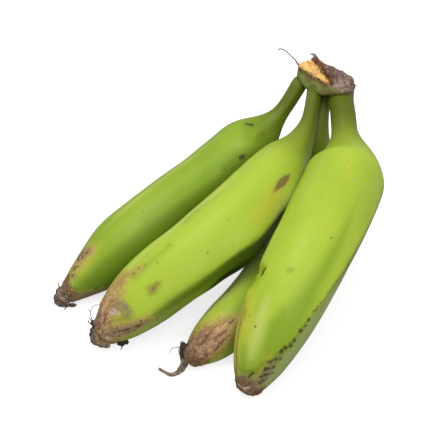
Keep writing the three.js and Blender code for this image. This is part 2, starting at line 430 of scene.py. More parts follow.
def one_skin(piece, grain, softening=2):
    """Melts overlapping closed shapes into one skin, with faces about grain mm wide."""
    skin = piece.modifiers.new("skin", "REMESH")
    skin.mode = "VOXEL"
    skin.voxel_size = grain * MM
    if softening:
        soft = piece.modifiers.new("soft", "SMOOTH")
        soft.iterations = softening
        soft.factor = 0.5
    apply_modifiers(piece)


# ---------------------------------------------------------------- marks on the peel

# Strokes on each fruit as (share of the length, degrees from straight up, reach in mm).


def ring(share, reach, count=8):
    """A stroke once round a fruit."""
    return [(share, 360 * step / count, reach) for step in range(count + 1)]


def dots(reach, *places):
    """Single spots, each given as (share, degrees)."""
    return [[(share, degrees, reach)] for share, degrees in places]


# Of these strokes, deep is painted shade in grooves and below ridges, light is painted highlights
# and painted light on shaded skin, crease is a painted shadow where fruit press together, and haze
# is grey-green bloom with a painted reflection of the floor on the lower facets.
MARKS = {
    "fruit_1": {
        "cork": [
            ring(1, 4.6),
            [(0.872, 4, 1.6), (0.89, 12, 3.6), (0.91, 20, 4.2), (0.935, 20, 3.8), (0.96, 18, 3.8)],
            [(0.9, 6, 2.2), (0.93, 2, 1.6)], [(0.92, 38, 2.6), (0.95, 38, 3.6), (0.985, 20, 4.2)],
            [(0.86, -122, 0.3), (0.913, -113, 1.4), (0.95, -110, 2.2), (0.985, -90, 3)],
        ],
        "bruise": [[(0.86, -122, 1), (0.93, -112, 3.4), (0.98, -98, 4)], [(0.96, -4, 2)],
                   [(0.88, 11, 2.4), (0.895, 19, 4), (0.915, 25, 3)]],
        "deep": [[(0.17, -20, 3), (0.22, -8, 4), (0.27, -24, 3)], [(0.35, -30, 2), (0.7, -26, 2)]],
        "speck": [[(0.226, 6, 0.9), (0.21, -8, 1.2)], [(0.345, -42, 1.3), (0.335, -44, 1.1)],
                  [(0.97, 22, 0.8)],
                  *dots(0.35, (0.36, 10), (0.47, -20), (0.52, 6), (0.69, -12), (0.31, -20)),
                  *dots(0.45, (0.889, 14), (0.897, 23), (0.9, 16), (0.91, 25), (0.905, 21),
                        (0.893, 25), (0.914, 17), (0.93, 22), (0.94, 16), (0.952, 20)),
                  *dots(0.7, (0.887, 10), (0.893, 19), (0.902, 27), (0.906, 13), (0.917, 22),
                        (0.932, 8), (0.945, 13), (0.962, 4))],
        "stain": [[(0.341, -43, 2.2)], [(0.2, -46, 1.2), (0.42, -38, 1.2)]],
        "light": [[(0.3, 28, -1), (0.39, 26, 0.6), (0.62, 23, 0.6), (0.71, 20, 0.4),
                   (0.82, 10, -1)]],
        "warm": [[(0.84, -5, 1), (0.92, -6, 4), (0.95, 0, 3)], [(0.918, 10, 3), (0.93, 0, 3)]],
    },
    "fruit_2": {
        "cork": [
            ring(1, 6),
            [(0.81, 2, 0), (0.84, 9, 1.6), (0.865, 19, 5), (0.9, 15, 8.5), (0.935, 16, 12)],
            [(0.935, 18, 12), (0.97, 15, 12)],
            [(0.868, -84, 0.8), (0.89, -82, 2.4), (0.917, -77, 3.6), (0.945, -71, 4.6),
             (0.965, -62, 5), (0.985, -50, 6)],
        ],
        "bruise": [[(0.915, -18, 3), (0.907, -30, 4), (0.905, -44, 3)],
                   [(0.88, -83, 0), (0.9, -79, 1.6), (0.93, -75, 3), (0.96, -68, 3.4),
                    (0.985, -58, 3)]],
        "pale": [[(0.926, -32, 1), (0.932, -22, 1.9), (0.94, -16, 1.4)],
                 *dots(1, (0.955, 10), (0.985, -20), (0.9, 8), (1, -63))],
        "deep": [[(0.36, 24, 0), (0.5, 20, 0), (0.64, 30, 1)], [(0.72, 0, 0), (0.84, -6, 1)],
                 [(0.5, -98, 2), (0.6, -92, 3), (0.7, -92, 6), (0.8, -94, 6), (0.88, -92, 4)]],
        "light": [[(0.22, -78, 0), (0.3, -82, 3), (0.36, -82, 4), (0.44, -84, 6), (0.48, -88, 3)],
                  [(0.4, 26, 0.8), (0.51, 30, 1.4), (0.65, 39, 1.4), (0.76, 31, 1.2),
                   (0.845, 23, 0.6)]],
        "painted_crease_shadow": [[(0.44, -124, 1), (0.52, -120, 4), (0.6, -118, 4.5), (0.66, -120, 4),
                    (0.71, -124, 1)]],
        "scar": [[(0.806, -42, 0.1), (0.82, -45, 0.9)],
                 [(0.43, -54, 0.3), (0.41, -54, 1.5), (0.386, -54, 2.5), (0.366, -54, 1.6),
                  (0.35, -54, 0.3)]],
        "warm": [[(0.44, -62, 8), (0.52, -64, 4)], [(0.24, -10, 1), (0.32, 0, 2)],
                 [(0.82, 6, 2), (0.85, 8, 5), (0.89, 4, 5)]],
        "stain": [[(0.803, -42, 1.6), (0.82, -45, 2.8)], [(0.8, 0, 0.6), (0.84, 3, 1.6)],
                  [(0.945, -38, 1.4), (0.925, -52, 2.6), (0.915, -63, 2.2)]],
        "speck": [
            *dots(0.6, (0.958, -62), (0.953, -78), (0.815, 3), (0.835, 2), (0.885, -80),
                  (0.899, -74), (0.915, -82), (0.942, -80), (0.972, -74), (0.975, -60),
                  (0.96, -54)),
            [(0.965, -64, 0.4), (0.95, -68, 0.8), (0.935, -73, 0.6)],
            [(0.925, -74, 0.4), (0.905, -80, 0.8)],
            *dots(0.4, (0.769, -14), (0.606, -65), (0.57, -30), (0.66, -48), (0.72, 4)),
            *dots(0.55, (0.864, -96), (0.89, -90), (0.905, -84), (0.93, -84)),
        ],
        "bloom_and_floor_reflection": [[(0.7, -104, -2), (0.8, -104, 0.5), (0.87, -102, 2.4), (0.92, -100, 2)]],
    },
    "fruit_3": {
        "cork": [
            ring(1, 6),
            [(0.85, -36, 1), (0.88, -34, 5), (0.91, -34, 8), (0.945, -26, 11), (0.985, -18, 12)],
        ],
        "bruise": [[(0.955, 10, 0.6), (0.985, 20, 1.2)]],
        "light": [[(0.6, 20, 2), (0.8, 22, 3), (0.92, 28, 2.4)]],
        "warm": [[(0.89, 0, 3), (0.92, 14, 4), (0.95, 16, 3)]],
        "deep": [[(0.6, -20, 2), (0.75, -20, 1), (0.85, -20, 0)]],
    },
    "fruit_4": {
        "cork": [
            ring(1, 6),
            [(0.95, 50, 0.8), (0.985, 30, 2.6), (0.98, 0, 3.8), (0.98, -18, 5.6), (0.98, -38, 3.6)],
        ],
        "bruise": [[(0.88, -43, 0), (0.9, -43, 1.2), (0.935, -42, 2.6), (0.97, -42, 3.2)],
                   [(0.97, 10, 0.6), (0.96, -24, 1)]],
        "scar": [
            [(0.8, 52, 0.05), (0.83, 50, 0.4), (0.856, 47, 0.6), (0.9, 45, 0.5), (0.93, 40, 0.7),
             (0.955, 34, 0.6)],
        ],
        "speck": [
            [(0.709, 68, 1.3), (0.721, 66, 2.1)],
            [(0.713, 41, 1.2), (0.722, 43, 2), (0.732, 46, 1.4)],
            [(0.935, -50, 0.7), (0.942, -42, 1), (0.952, -36, 0.6)],
            [(0.92, -46, 0.4), (0.926, -36, 0.6)],
            [(0.958, -50, 0.8), (0.966, -42, 0.9)], [(0.9, -40, 0.5), (0.908, -35, 0.8)],
            [(0.945, -24, 0.3), (0.95, -16, 0.5), (0.965, -10, 0.5)],
            *dots(1.2, (0.78, -59), (0.796, -58.5), (0.837, -56.5)),
            *dots(1.5, (0.811, -57), (0.852, -55)),
            *dots(1.3, (0.862, -49), (0.871, -46), (0.928, -37)),
            *dots(0.9, (0.894, -45), (0.905, -38)),
            *dots(0.8, (0.89, -53), (0.915, -49), (0.94, -46), (0.957, -44), (0.95, -52),
                  (0.93, -55)),
            *dots(0.5, (0.591, -33), (0.85, 40), (0.83, 30), (0.35, -8), (0.845, 11), (0.97, 5)),
            [(0.3, -93, 0), (0.49, -88, 0.2), (0.58, -80, 0.3), (0.667, -70, 0.3),
             (0.76, -61, 0.5)],
        ],
        "deep": [
            [(0.36, -44, -5), (0.5, -46, 0), (0.6, -46, 2.4), (0.7, -44, 3.6), (0.78, -41, 6.4),
             (0.86, -35, 7.4), (0.94, -29, 7.4)],
            [(0.79, -24, 3), (0.83, -27, 7), (0.87, -29, 7), (0.91, -32, 5)],
            [(0.9, 20, 0), (0.96, 6, 5)],
        ],
        "light": [[(0.78, 10, 1.5), (0.83, 6, 3.6), (0.87, 1, 3.6), (0.91, -2, 2)],
                  [(0.55, 60, 0), (0.64, 58, 1.6), (0.69, 56, 1.6)],
                  [(0.78, 60, 0.4), (0.83, 60, 0.8), (0.88, 57, 0.8), (0.95, 48, 0.8)]],
        "pale": [*dots(0.7, (0.401, -28)), [(0.99, -24, 0.5), (1, -8, 0.9)],
                 [(1, 14, 0.6), (1, 30, 0.3)],
                 *dots(0.5, (0.98, -46))],
        "warm": [[(0.79, 44, 3), (0.82, 38, 6), (0.845, 33, 7), (0.87, 28, 5)],
                 [(0.34, -10, 1), (0.4, -20, 2)],
                 [(0.9, -30, 3), (0.93, -25, 3)]],
        "bloom_and_floor_reflection": [[(0.32, -124, -4), (0.45, -112, 3), (0.6, -102, 8), (0.7, -94, 10), (0.8, -88, 11),
                  (0.9, -82, 11), (0.98, -80, 9)]],
        "stain": [[(0.718, 52, 1.4)], [(0.701, -2, 1)], [(0.825, 44, 0.8), (0.835, 42, 1)],
                  [(0.8, -58, 0.2), (0.84, -55, 0.8), (0.87, -50, 1.4), (0.9, -48, 3),
                   (0.94, -50, 4.5)],
                  [(0.875, -28, -1), (0.91, -30, 0.8), (0.94, -20, 1.2), (0.958, 0, 1),
                   (0.955, 24, 0.4)]],
    },
}
KINDS = ("cork", "scar", "speck", "warm", "bloom_and_floor_reflection", "pale", "bruise", "stain", "deep", "light",
         "painted_crease_shadow")
PAINTED_LIGHT_FROM = (-0.12, -0.08, 0.99)  # towards the painted light: skin facing it gets the lit colour, skin facing away painted shade
# range of facing towards the painted light over which painted shade gives way to the lit colour
USUAL_SHADE = (-0.35, 0.3)
UNDER_SETS_IN = (0.1, 0.32, 0.6, 0.74)  # shares of the length at which the painted shade on the underside sets in
FACET_FADES = (0.1, 0.9)  # shares of the facet's width
FACET_WIDTH = 150  # degrees
OLIVE_NECK = 0.6  # the share of the neck that is as olive as the stalk
RIDGE_LINE = 1.1  # mm to either side of a ridge
LINE_SAMPLES = 241
POINTS_AT_ONCE = 8000


def on_skin(fruit, spine, share, degrees):
    """The place on a fruit's skin at a share of its length, in mm."""
    turned = spine.turned(share)
    turn = math.radians(degrees)
    out = turned.col[1] * math.cos(turn) - turned.col[0] * math.sin(turn)
    reach = girth_at(fruit, share) * ridged(fruit, share, degrees)
    return (spine.at(share) + out * float(reach)) / MM


def lay_straight(piece, spine):
    """For each point: its place, the nearest place on the line with its directions, and where
    it would lie if the fruit were straight (up, right, along)."""
    places = places_of(piece)
    shares = np.linspace(0, 1, LINE_SAMPLES)
    centres = np.array([spine.at(share) for share in shares])
    nearest = np.empty(len(places), int)
    for start in range(0, len(places), POINTS_AT_ONCE):
        some = slice(start, start + POINTS_AT_ONCE)
        away = ((places[some, None] - centres[None]) ** 2).sum(2)
        nearest[some] = away.argmin(1)
    turned = np.array([spine.turned(share) for share in shares])[nearest]
    offset = places - centres[nearest]
    left, up, along = (np.einsum("ij,ij->i", offset, turned[:, :, axis]) for axis in range(3))
    return places, turned, np.stack([up, -left, shares[nearest] * spine.length + along], 1)


def raise_ridges(piece, fruit, spine):
    """Pulls the skin out along its ridges, sinks it between them and knocks in its dents."""
    places, turned, straight = lay_straight(piece, spine)
    up, right, along = straight.T
    share = np.clip(along / spine.length, 0, 1)
    degrees = np.degrees(np.arctan2(right, up))
    grown = ridged(fruit, share, degrees)
    for at, around, reach, sink in fruit.get("dents", []):
        middle = np.array(on_skin(fruit, spine, at, around)) * MM
        near = smooth(reach * MM, 0, np.linalg.norm(places - middle, axis=1))
        grown -= near * sink * MM / np.maximum(np.hypot(up, right), MM)
    move = (grown - 1)[:, None]
    places += move * (up[:, None] * turned[:, :, 1] - right[:, None] * turned[:, :, 0])
    piece.data.vertices.foreach_set("co", places.ravel())
    piece.data.update()


def note_skin(piece, name, fruit, spine):
    """Notes the skin's own coordinates, its marks, and its painted light and shade: the lit side
    and the shaded underside facet.
    """
    places, _, straight = lay_straight(piece, spine)
    share = np.clip(straight[:, 2] / spine.length, 0, 1)
    note(piece, "laid_straight", straight, "FLOAT_VECTOR")
    note(piece, "stalk", 1 - smooth(OLIVE_NECK * fruit["neck"], fruit["shoulder"], share))
    note(piece, "ripeness", np.full(len(places), fruit["ripeness"]))
    note(piece, "age", share + fruit.get("worn", 0))
    degrees = np.degrees(np.arctan2(straight[:, 1], straight[:, 0]))
    arc = np.radians(1) * np.hypot(straight[:, 0], straight[:, 1]) / MM
    away = np.array(from_ridges(fruit, share, degrees)) * arc
    # painted shade: the facet beyond the first ridge is darkened as an underside in shade
    belly, tip, softness = fruit["under"]
    fading = 1 - smooth(*FACET_FADES, -away[0] / (FACET_WIDTH * arc))
    beyond = smooth(-softness, softness, -away[0]) * fading
    note(piece, "facet", beyond)
    note(piece, "under", beyond * np.interp(share, UNDER_SETS_IN, (0, belly, belly, tip)))
    sharp = [ridge[-1] <= LINED_RIDGE for ridge in fruit["ridges"]]
    note(piece, "ridge", RIDGE_LINE - np.abs(away[sharp]).min(0))
    for kind in KINDS:
        strokes = []
        for stroke in MARKS[name].get(kind, []):
            strokes.append(
                [(*on_skin(fruit, spine, share, turn), reach) for share, turn, reach in stroke]
            )
        note(piece, kind, depth_in(places, strokes))
    # painted light and shade: how far each point faces the painted light, for the lit and the
    # shaded colour
    normals = np.empty(3 * len(places))
    piece.data.vertices.foreach_get("normal", normals)
    facing = normals.reshape(-1, 3) @ np.array(PAINTED_LIGHT_FROM)
    note(piece, "painted_lit_side", smooth(*fruit.get("shade", USUAL_SHADE), facing))


def grow_fruit(name, fruit, settings):
    """One fruit: a ring drawn out along its line, rounded, ridged and kneaded."""
    spine = Spine(fruit["line"])
    bpy.ops.object.select_all(action="DESELECT")
    bpy.ops.mesh.primitive_circle_add(vertices=AROUND, radius=MM)
    piece = added(name)
    end, out, tip = spine.at(1), spine.along(1), fruit["tip"] * MM
    root = spine.at(0) - spine.along(0) * ROOT_SUNK * MM
    stations = [(root, spine.turned(0), ROOT_NARROWED * girth_at(fruit, 0))]
    for share in np.linspace(0, 1, RINGS):
        stations.append((spine.at(share), spine.turned(share), girth_at(fruit, share)))
    for reach, past in TIP_ROUNDING:
        stations.append((end + out * past * tip, spine.turned(1), reach * tip))
    draw_out(piece, [(a, b, float(size) * SUBDIVISION_LOSS) for a, b, size in stations])
    bpy.ops.mesh.extrude_region_move(
        TRANSFORM_OT_translate={"value": out * (TIP_POLE - TIP_ROUNDING[-1][1]) * tip}
    )
    bpy.ops.mesh.merge(type="CENTER")
    close_up(piece)
    subdivide(piece, ROUNDING_LEVELS)
    raise_ridges(piece, fruit, spine)
    knead(piece, SKIN_LUMPS, settings.unevenness, detail=1)
    note_skin(piece, name, fruit, spine)
    cork = np.empty(len(piece.data.vertices))
    piece.data.attributes["cork"].data.foreach_get("value", cork)
    group_points(piece, "cork_relief", smooth(*CORK_RISES, cork))
    knead(piece, *CORK_RELIEF, group="cork_relief", detail=3)
    stand_on_floor(piece)
    return piece


# ---------------------------------------------------------------- crown

# Everything here is in millimetres. The bar is a block with slanted cuts, each a (place,
# direction) of the side that is cut away.
CROWN_BAR = {
    "low": (-13, 84, 73.5),
    "high": (26.4, 108.2, 99.5),
    "cuts": [
        ((0, 91.3, 92), (0, -0.6, 0.8)),
        ((0, 91.2, 92), (-0.15, -0.9, 0.34)),
        ((0, 108.3, 73.5), (0, -0.39, -0.92)),
        ((-1, 102, 98.2), (0.2, 0.6, 0.8)),
        ((8, 102, 95.7), (0, 0.6, 0.8)),
        ((13.2, 102, 96), (0.4, 0.6, 0.7)),
        ((21.3, 102, 91.2), (0.6, 0.6, 0.5)),
        ((25.2, 102, 86.5), (0.9, 0.3, -0.1)),
        ((-12.4, 95, 94.9), (-0.6, 0.3, 0.8)),
        ((-12.6, 94, 94), (-0.8, 0, 0.5)),
        ((-10.5, 92.6, 84.6), (-0.5, -0.3, -0.8)),
        ((3, 90, 80), (0, -0.5, -0.86)),
        ((14, 88, 84), (0.35, -0.35, -0.87)),
        ((25, 95, 80), (0.75, -0.6, -0.3)),
        ((24.5, 100, 83), (0.6, 0, -0.8)),
        ((22, 107.6, 86), (0.7, 0.7, 0)),
        ((-9.6, 107.6, 86), (-0.7, 0.7, 0)),
        ((4, 107.4, 94.4), (-0.1, 0.8, 0.6)),
        ((4, 107.4, 79), (0.1, 0.8, -0.6)),
        ((16, 107.6, 92), (0.5, 0.75, 0.5)),
        ((-6, 107.6, 82), (-0.5, 0.75, -0.5)),
    ],
    "edge": 1.6,
}
CROWN_GRAIN = 0.42  # width of the faces of its skin
CROWN_SOFTENING = 9
CROWN_RELIEF = (  # size, depth, pattern, where it is, detail and middle
    (2.4, 1.3, "CLOUDS", "flesh_relief", 3, 0.5),
    (4.6, 1.1, "VORONOI", "bark_relief", 2, 0.4),
    (3, 1.8, "CLOUDS", "bark_relief", 3, 0.5),
    (1.3, 0.9, "CLOUDS", "bark_relief", 3, 0.5),
    (0.9, 0.9, "CLOUDS", "torn_relief", 3, 0.4),
    (9, 0.5, "CLOUDS", None, 1, 0.5),
)
RELIEF_RISES = {"flesh": (-1, 1), "bark": (-1, 1.5), "torn": (-0.5, 1)}  # mm inside its edge
CURL_HEIGHT = (98, 99.5)  # mm above the floor from which there is only the thin bark curl
CURL_SPARED = 0.8  # the share of the bark's relief that would tear the curl
COLLAR_SHARES = (0, 0.015, 0.03)  # of the fruit's length
STALK_SHARES = (0.005, 0.04)
COLLARS = {
    "fruit_1": (5.2, 5.3, 5.2), "fruit_2": (5.2, 5.0, 4.7), "fruit_3": (4.6, 4.3, 4),
    "fruit_4": (8.2, 8.1, 7.8),
}
CROWN_LUMPS = [  # place, radii and lean of each
    ((3.5, 94.2, 86), (12.5, 5.8, 6), (0, 8, -9)),
    ((9.5, 98, 94.4), (4.5, 3.4, 2.2), (0, 15, 0)),
    ((15.5, 97.4, 93), (5.5, 5, 3.2), (20, 18, 0)),
    ((20, 97.6, 89.8), (4.8, 6.5, 3.8), (15, 34, 0)),
    ((21.5, 94, 84.5), (3.4, 5.5, 4.2), (0, 20, 10)),
    ((16.5, 91.8, 87.5), (5.5, 3.4, 3), (30, 10, 0)),
    ((-3.5, 100.8, 96.5), (3.6, 1.6, 2.6), (0, 20, 0)),
]
HOOK = [(0, 101, 95), (-3.4, 101.8, 97.5), (-4.6, 102, 99.4), (-6.2, 101.9, 100.7),
        (-8.8, 101.6, 100)]
HOOK_RADII = (3.4, 2.8, 1.9, 1.3, 0.5)
FLESH = [[
    (-10.8, 94.6, 94.6, 2), (-6, 95.2, 95.2, 3.4), (-1, 94.8, 94.9, 3.7), (3, 93, 93.6, 2.9),
    (6.5, 91.8, 92.5, 2.4), (10, 91, 92, 1.9),
], [(-11, 95.8, 94.9, 1.4), (-7.7, 98, 96.5, 2.2), (-4.5, 98.8, 97.3, 1.8)]]
BARK = [[
    (2, 101.5, 98.5, 2.2), (6, 99.5, 97, 3), (10, 98, 95.5, 4), (15, 96, 92.5, 6.5),
    (20, 96, 90, 8.5), (23, 97.5, 88, 7.5),
], [(-9, 102, 100.5, 2), (-4, 102, 99, 2.6), (2, 101.5, 97, 2)], [
    (-6, 105.5, 92, 6), (-3, 107.5, 87, 7), (5, 107.5, 88, 9), (13, 107, 86, 8), (18, 104, 85, 8),
]]
TORN = [[
    (-5, 100, 98, 1.4), (0.5, 98.8, 97.6, 1.2), (4.5, 96.4, 96, 0.9), (8, 94.4, 94.5, 1),
    (12.5, 92.6, 93, 1.2), (14, 90, 91.2, 1),
], [(8, 97, 96, 0.8), (13, 94.5, 94, 1)], [
    (-13, 93, 93, 0), (-9, 92, 92.2, 0.3), (-4, 90.9, 91.4, 0.5), (1, 90.2, 90.9, 0.5),
    (6, 89.4, 90.4, 0.5), (11, 88.6, 89.9, 0.4),
]]
# the dried lower edge of the rim over the stalks, partly a painted shade line under its lip
DRIED_AND_SHADED_EDGE = [[(2, 88.6, 84.6, -0.5), (8, 87.2, 85, 0.6), (13, 86.6, 86, 1.4), (18, 86.6, 87, 2),
          (23, 88, 88.4, 2.4)]]
# Fibres: path, how many, their lean, length, radius, spread along x, y and z, and sideways bend.
FIBRES = {
    "torn_strands": (
        [(-5, 99.6, 98), (0, 98.3, 97.6), (3.5, 95.8, 95.8), (8, 93.8, 94.4), (14, 90.6, 91.8)],
        64, (0.7, -0.35, -0.2), 4.6, 0.26, (1.3, 1.3, 0.3), 0.4,
    ),
    "cut_fringe": (
        [(-12.6, 93.2, 93.7), (-6, 92, 92.6), (0, 91, 91.9), (6, 90.1, 91.3), (13.5, 88.9, 90.3)],
        60, (0.6, -0.3, -0.7), 2.2, 0.26, (0.6, 0.5, 0.7), 0.55,
    ),
    "pale_splinters": (
        [(-12.8, 94.4, 94.2), (-11.5, 95.6, 95), (-9, 97.2, 96.2)],
        10, (-0.35, 0.1, 0.9), 2.4, 0.16, (0.4, 0.5, 0.4), 0.3,
    ),
}


def block(name, low, high):
    """A box between two corners in mm."""
    bpy.ops.object.select_all(action="DESELECT")
    bpy.ops.mesh.primitive_cube_add(size=MM)
    piece = added(name)
    piece.location = (Vector(low) + Vector(high)) / 2 * MM
    piece.scale = Vector(high) - Vector(low)
    settle(piece)
    return piece


def carve_crown():
    """The crown: a cut and bevelled block with collars, bark lumps and a curl, in one skin."""
    bar = block("crown_bar", CROWN_BAR["low"], CROWN_BAR["high"])
    bpy.ops.object.mode_set(mode="EDIT")
    for place, away in CROWN_BAR["cuts"]:
        bpy.ops.mesh.select_all(action="SELECT")
        bpy.ops.mesh.bisect(
            plane_co=Vector(place) * MM, plane_no=away, use_fill=True, clear_outer=True
        )
    bpy.ops.mesh.select_all(action="SELECT")
    bpy.ops.mesh.bevel(offset=CROWN_BAR["edge"] * MM, segments=4, affect="EDGES")
    close_up(bar)
    parts = [bar]
    for name, radii in COLLARS.items():
        line = [tuple(Spine(FRUIT[name]["line"]).at(share) / MM) for share in COLLAR_SHARES]
        parts.append(cord(name + "_collar", line, radii, sides=20, steps=4))
    for place, size, lean in CROWN_LUMPS:
        parts.append(lump("crown_lump", place, size, lean))
    parts.append(cord("hook", HOOK, HOOK_RADII, sides=12, steps=12, squash=0.55))
    crown = joined("crown_top", parts)
    one_skin(crown, CROWN_GRAIN, CROWN_SOFTENING)
    places = places_of(crown)
    strokes = {"flesh": FLESH, "bark": BARK, "torn": TORN, "dried": DRIED_AND_SHADED_EDGE}
    depths = {kind: depth_in(places, kind_strokes) for kind, kind_strokes in strokes.items()}
    spared = {"bark": CURL_SPARED * smooth(*CURL_HEIGHT, places[:, 2] / MM)}
    for kind, rises in RELIEF_RISES.items():
        relief = smooth(*rises, depths[kind]) * (1 - spared.get(kind, 0))
        group_points(crown, kind + "_relief", relief)
    for relief in CROWN_RELIEF:
        knead(crown, *relief)
    stalks = []
    for name, radii in COLLARS.items():
        spine = Spine(FRUIT[name]["line"])
        stalks.append([(*(spine.at(share) / MM), radii[0] + 1) for share in STALK_SHARES])
    depths["stalk"] = depth_in(places, stalks)
    for kind, depth in depths.items():
        note(crown, kind, depth)
    return crown


def scatter_fibres(name):
    """Short crooked fibres scattered along a path, as one piece."""
    path, count, lean, length, radius, spread, bend = FIBRES[name]
    chance = random.Random(name)
    spine = Spine(path)
    fibres = []
    for number in range(count):
        start = spine.at((number + chance.random()) / count) / MM
        start += Vector([chance.uniform(-1, 1) * reach for reach in spread])
        line = [start]
        run = Vector(lean).normalized()
        for _ in range(3):
            run = (run + Vector([chance.gauss(0, bend) for _ in range(3)])).normalized()
            line.append(line[-1] + run * length * chance.uniform(0.2, 0.42))
        thick = radius * chance.uniform(0.6, 1.2)
        fibres.append(cord(name, [tuple(p) for p in line], (thick, thick * 0.9, thick * 0.3), 5, 6))
    return joined(name, fibres)


# ---------------------------------------------------------------- dried blossom

PETAL_GRAIN = 0.34  # width of the faces of the petals' skin
PETAL_CELLS = (1.9, 1.3)  # size and depth of the coarse wrinkles
PETAL_WRINKLES = (1.1, 0.8)  # of the fine ones
CORD_WRINKLES = (1.2, 0.25)
STYLE_WRINKLES = (1.2, 0.5)
# Lumps as (place, radii, lean), cords as (line, radii), strokes of dark and of tan tissue.
# The dark strokes along a piece's bottom, where it meets the floor, are partly a painted contact
# shadow.
BLOSSOM = {
    "stub_1": {
        "node": "blossom_stub_1",
        "lumps": [
            ((-75.6, -86.4, 6), (5.2, 4.6, 5.2), (0, 0, 20)),
            ((-78.6, -85.8, 8), (2.6, 3, 3), (0, 0, 0)),
            ((-78.4, -88.4, 4.6), (3, 3, 3.6), (0, 20, 0)),
            ((-75.6, -89.2, 5.2), (4, 2.8, 4.4), (10, 0, 0)),
            ((-72.8, -88.8, 3.4), (2.8, 2.4, 2.8), (0, 0, 0)),
            ((-76.4, -88.2, 1.4), (5.2, 3.4, 1.4), (0, 0, 10)),
            ((-70.2, -86.6, 0.9), (3.4, 1.4, 0.8), (0, 0, 35)),
        ],
        "cords": [
            ([(-72.8, -89.6, 2.4), (-71.4, -91.2, 1.2), (-71.8, -92.6, 0.5)], (0.4, 0.3, 0.15)),
            ([(-79.6, -85, 11), (-80.6, -84.6, 13), (-80.4, -83.8, 14.4)], (0.4, 0.3, 0.15)),
        ],
        "wrinkles": 0.5,
        # the first dark stroke runs along the bottom on the floor: blackened tissue, partly a
        # painted contact shadow
        "dark": [[(-81, -88, 0, 2.2), (-76, -91, 0, 2.2), (-69, -88, 0, 2)],
                 [(-80.5, -84.5, 9, 1.2), (-79, -83.4, 12, 1)]],
        "tan": [[(-75, -88.5, 7, 2.6)]],
    },
    "stub_2": {
        "node": "blossom_stub_2",
        "lumps": [
            ((-36.4, -103, 7), (5.6, 3.6, 5.6), (-20, 0, 12)),
            ((-39.8, -103, 10.6), (2.1, 2, 2.8), (0, 0, 0)),
            ((-40.6, -103.6, 6.6), (2, 2, 3), (0, 0, 0)),
            ((-38.2, -105, 4.6), (2.6, 1.9, 2.4), (0, 0, 0)),
            ((-34.6, -105.4, 5.2), (3, 1.8, 2.6), (0, 0, 0)),
            ((-31, -104.2, 4.8), (2.6, 2, 2.4), (0, 0, 0)),
            ((-33.4, -104.4, 9), (3, 1.9, 3.8), (0, 0, 0)),
            ((-30.4, -104.8, 6.4), (2.6, 1.5, 2.8), (0, 0, 0)),
            ((-35.4, -106.2, 8.6), (1.2, 1, 1), (0, 0, 0)),
            ((-39.4, -104.6, 9.2), (0.9, 0.8, 1.3), (0, 0, 0)),
            ((-39.6, -100.8, 15.6), (1.7, 1.7, 2.6), (0, 20, 0)),
            ((-41.2, -101.4, 14.4), (1.3, 1.3, 1.8), (0, 0, 0)),
        ],
        "cords": [
            ([(-39.8, -101, 16), (-42.2, -101.6, 17), (-43.4, -101.6, 19.2)], (0.5, 0.35, 0.15)),
            ([(-40.6, -101.6, 14.6), (-43, -102.4, 15.2), (-44, -102, 17)], (0.45, 0.3, 0.15)),
            ([(-41, -101.8, 18), (-43.8, -99.6, 21), (-42.6, -97, 25), (-39.4, -95.8, 26.4)],
             (0.22, 0.24, 0.22, 0.16)),
            ([(-43.8, -99.6, 21), (-46, -98, 20.6), (-47.6, -97.4, 19.8)], (0.2, 0.16)),
        ],
        # the first dark stroke runs down to the bottom on the floor: blackened tissue, partly a
        # painted contact shadow
        "dark": [[(-41.6, -104, 11, 1.6), (-41, -105, 5, 2), (-36, -107, 1.5, 2.4),
                  (-30, -105, 2, 2)],
                 [(-44, -101.5, 18, 3), (-40, -101, 13, 2.6)]],
        "tan": [[(-35.4, -106.8, 8.6, 1.2)], [(-39.4, -105.2, 9.4, 1.1)],
                [(-34.6, -104.6, 8, 2.6), (-31, -105.4, 7, 2)]],
    },
    "scrap_2": {
        "node": "blossom_scrap_2",
        "lumps": [
            ((-25.2, -96.2, 2.7), (2.6, 2.3, 2.5), (0, 10, 0)),
            ((-22.9, -95.6, 3.6), (1.7, 1.5, 1.8), (0, 0, 0)),
            ((-26.4, -97, 1.2), (1.6, 1.3, 1.1), (0, 0, 0)),
        ],
        "cords": [([(-24, -97.6, 2), (-23.2, -99.2, 1), (-23.6, -100.4, 0.5)], (0.5, 0.3, 0.15))],
        # dark all over: a blackened scrap under the fruit's tip, partly a painted contact shadow
        "dark": [[(-25, -96.5, 2, 5)]],
        "tan": [],
    },
}
STYLE = [
    (12.2, -84.6, 12), (13.6, -88.4, 9), (15.6, -91.2, 6), (16.3, -94, 3.6), (15.4, -98.4, 2),
    (12.2, -101.4, 1.5), (8.2, -101.4, 1.8), (5, -101.6, 2.6),
]
STYLE_SPREAD = (3, 2.8, 2.5, 2.1, 1.4, 0.9, 0.9, 1.4)  # how far its fibres lie apart, in mm
STYLE_FIBRES = 20
STYLE_LONG_FIBRES = 9  # those that run its whole length
STYLE_DARK = [[(11, -84, 13, 4.5), (14, -90, 8, 2)], [(6, -87.5, 6, 4)]]
STYLE_TAN = [[(16, -94, 4, 0.8), (12, -101.4, 1.5, 0.6), (5, -101.6, 2.4, 0.4)]]
STYLE_HAIRS = [
    ([(11.4, -86.2, 10.6), (8, -87, 8.4), (5, -87.4, 6), (3, -87.8, 1.4)], (0.24, 0.2, 0.16)),
    ([(12, -86, 11.4), (9.8, -87, 9), (10, -88, 5.4), (12.2, -89, 4.8), (13, -88.6, 8)],
     (0.2, 0.2, 0.12)),
    ([(12.6, -85, 13), (10.6, -85.6, 13.6), (9.6, -86.4, 12.4)], (0.3, 0.2, 0.1)),
]
LOOSE_FIBRE = [
    (-12.9, 95.6, 93.4), (-14.2, 96, 94.1), (-16.3, 96.5, 96.2), (-19.5, 97, 97.6),
    (-24, 97.5, 99.8), (-27.4, 97.9, 99.9), (-29.4, 98, 98.9),
]
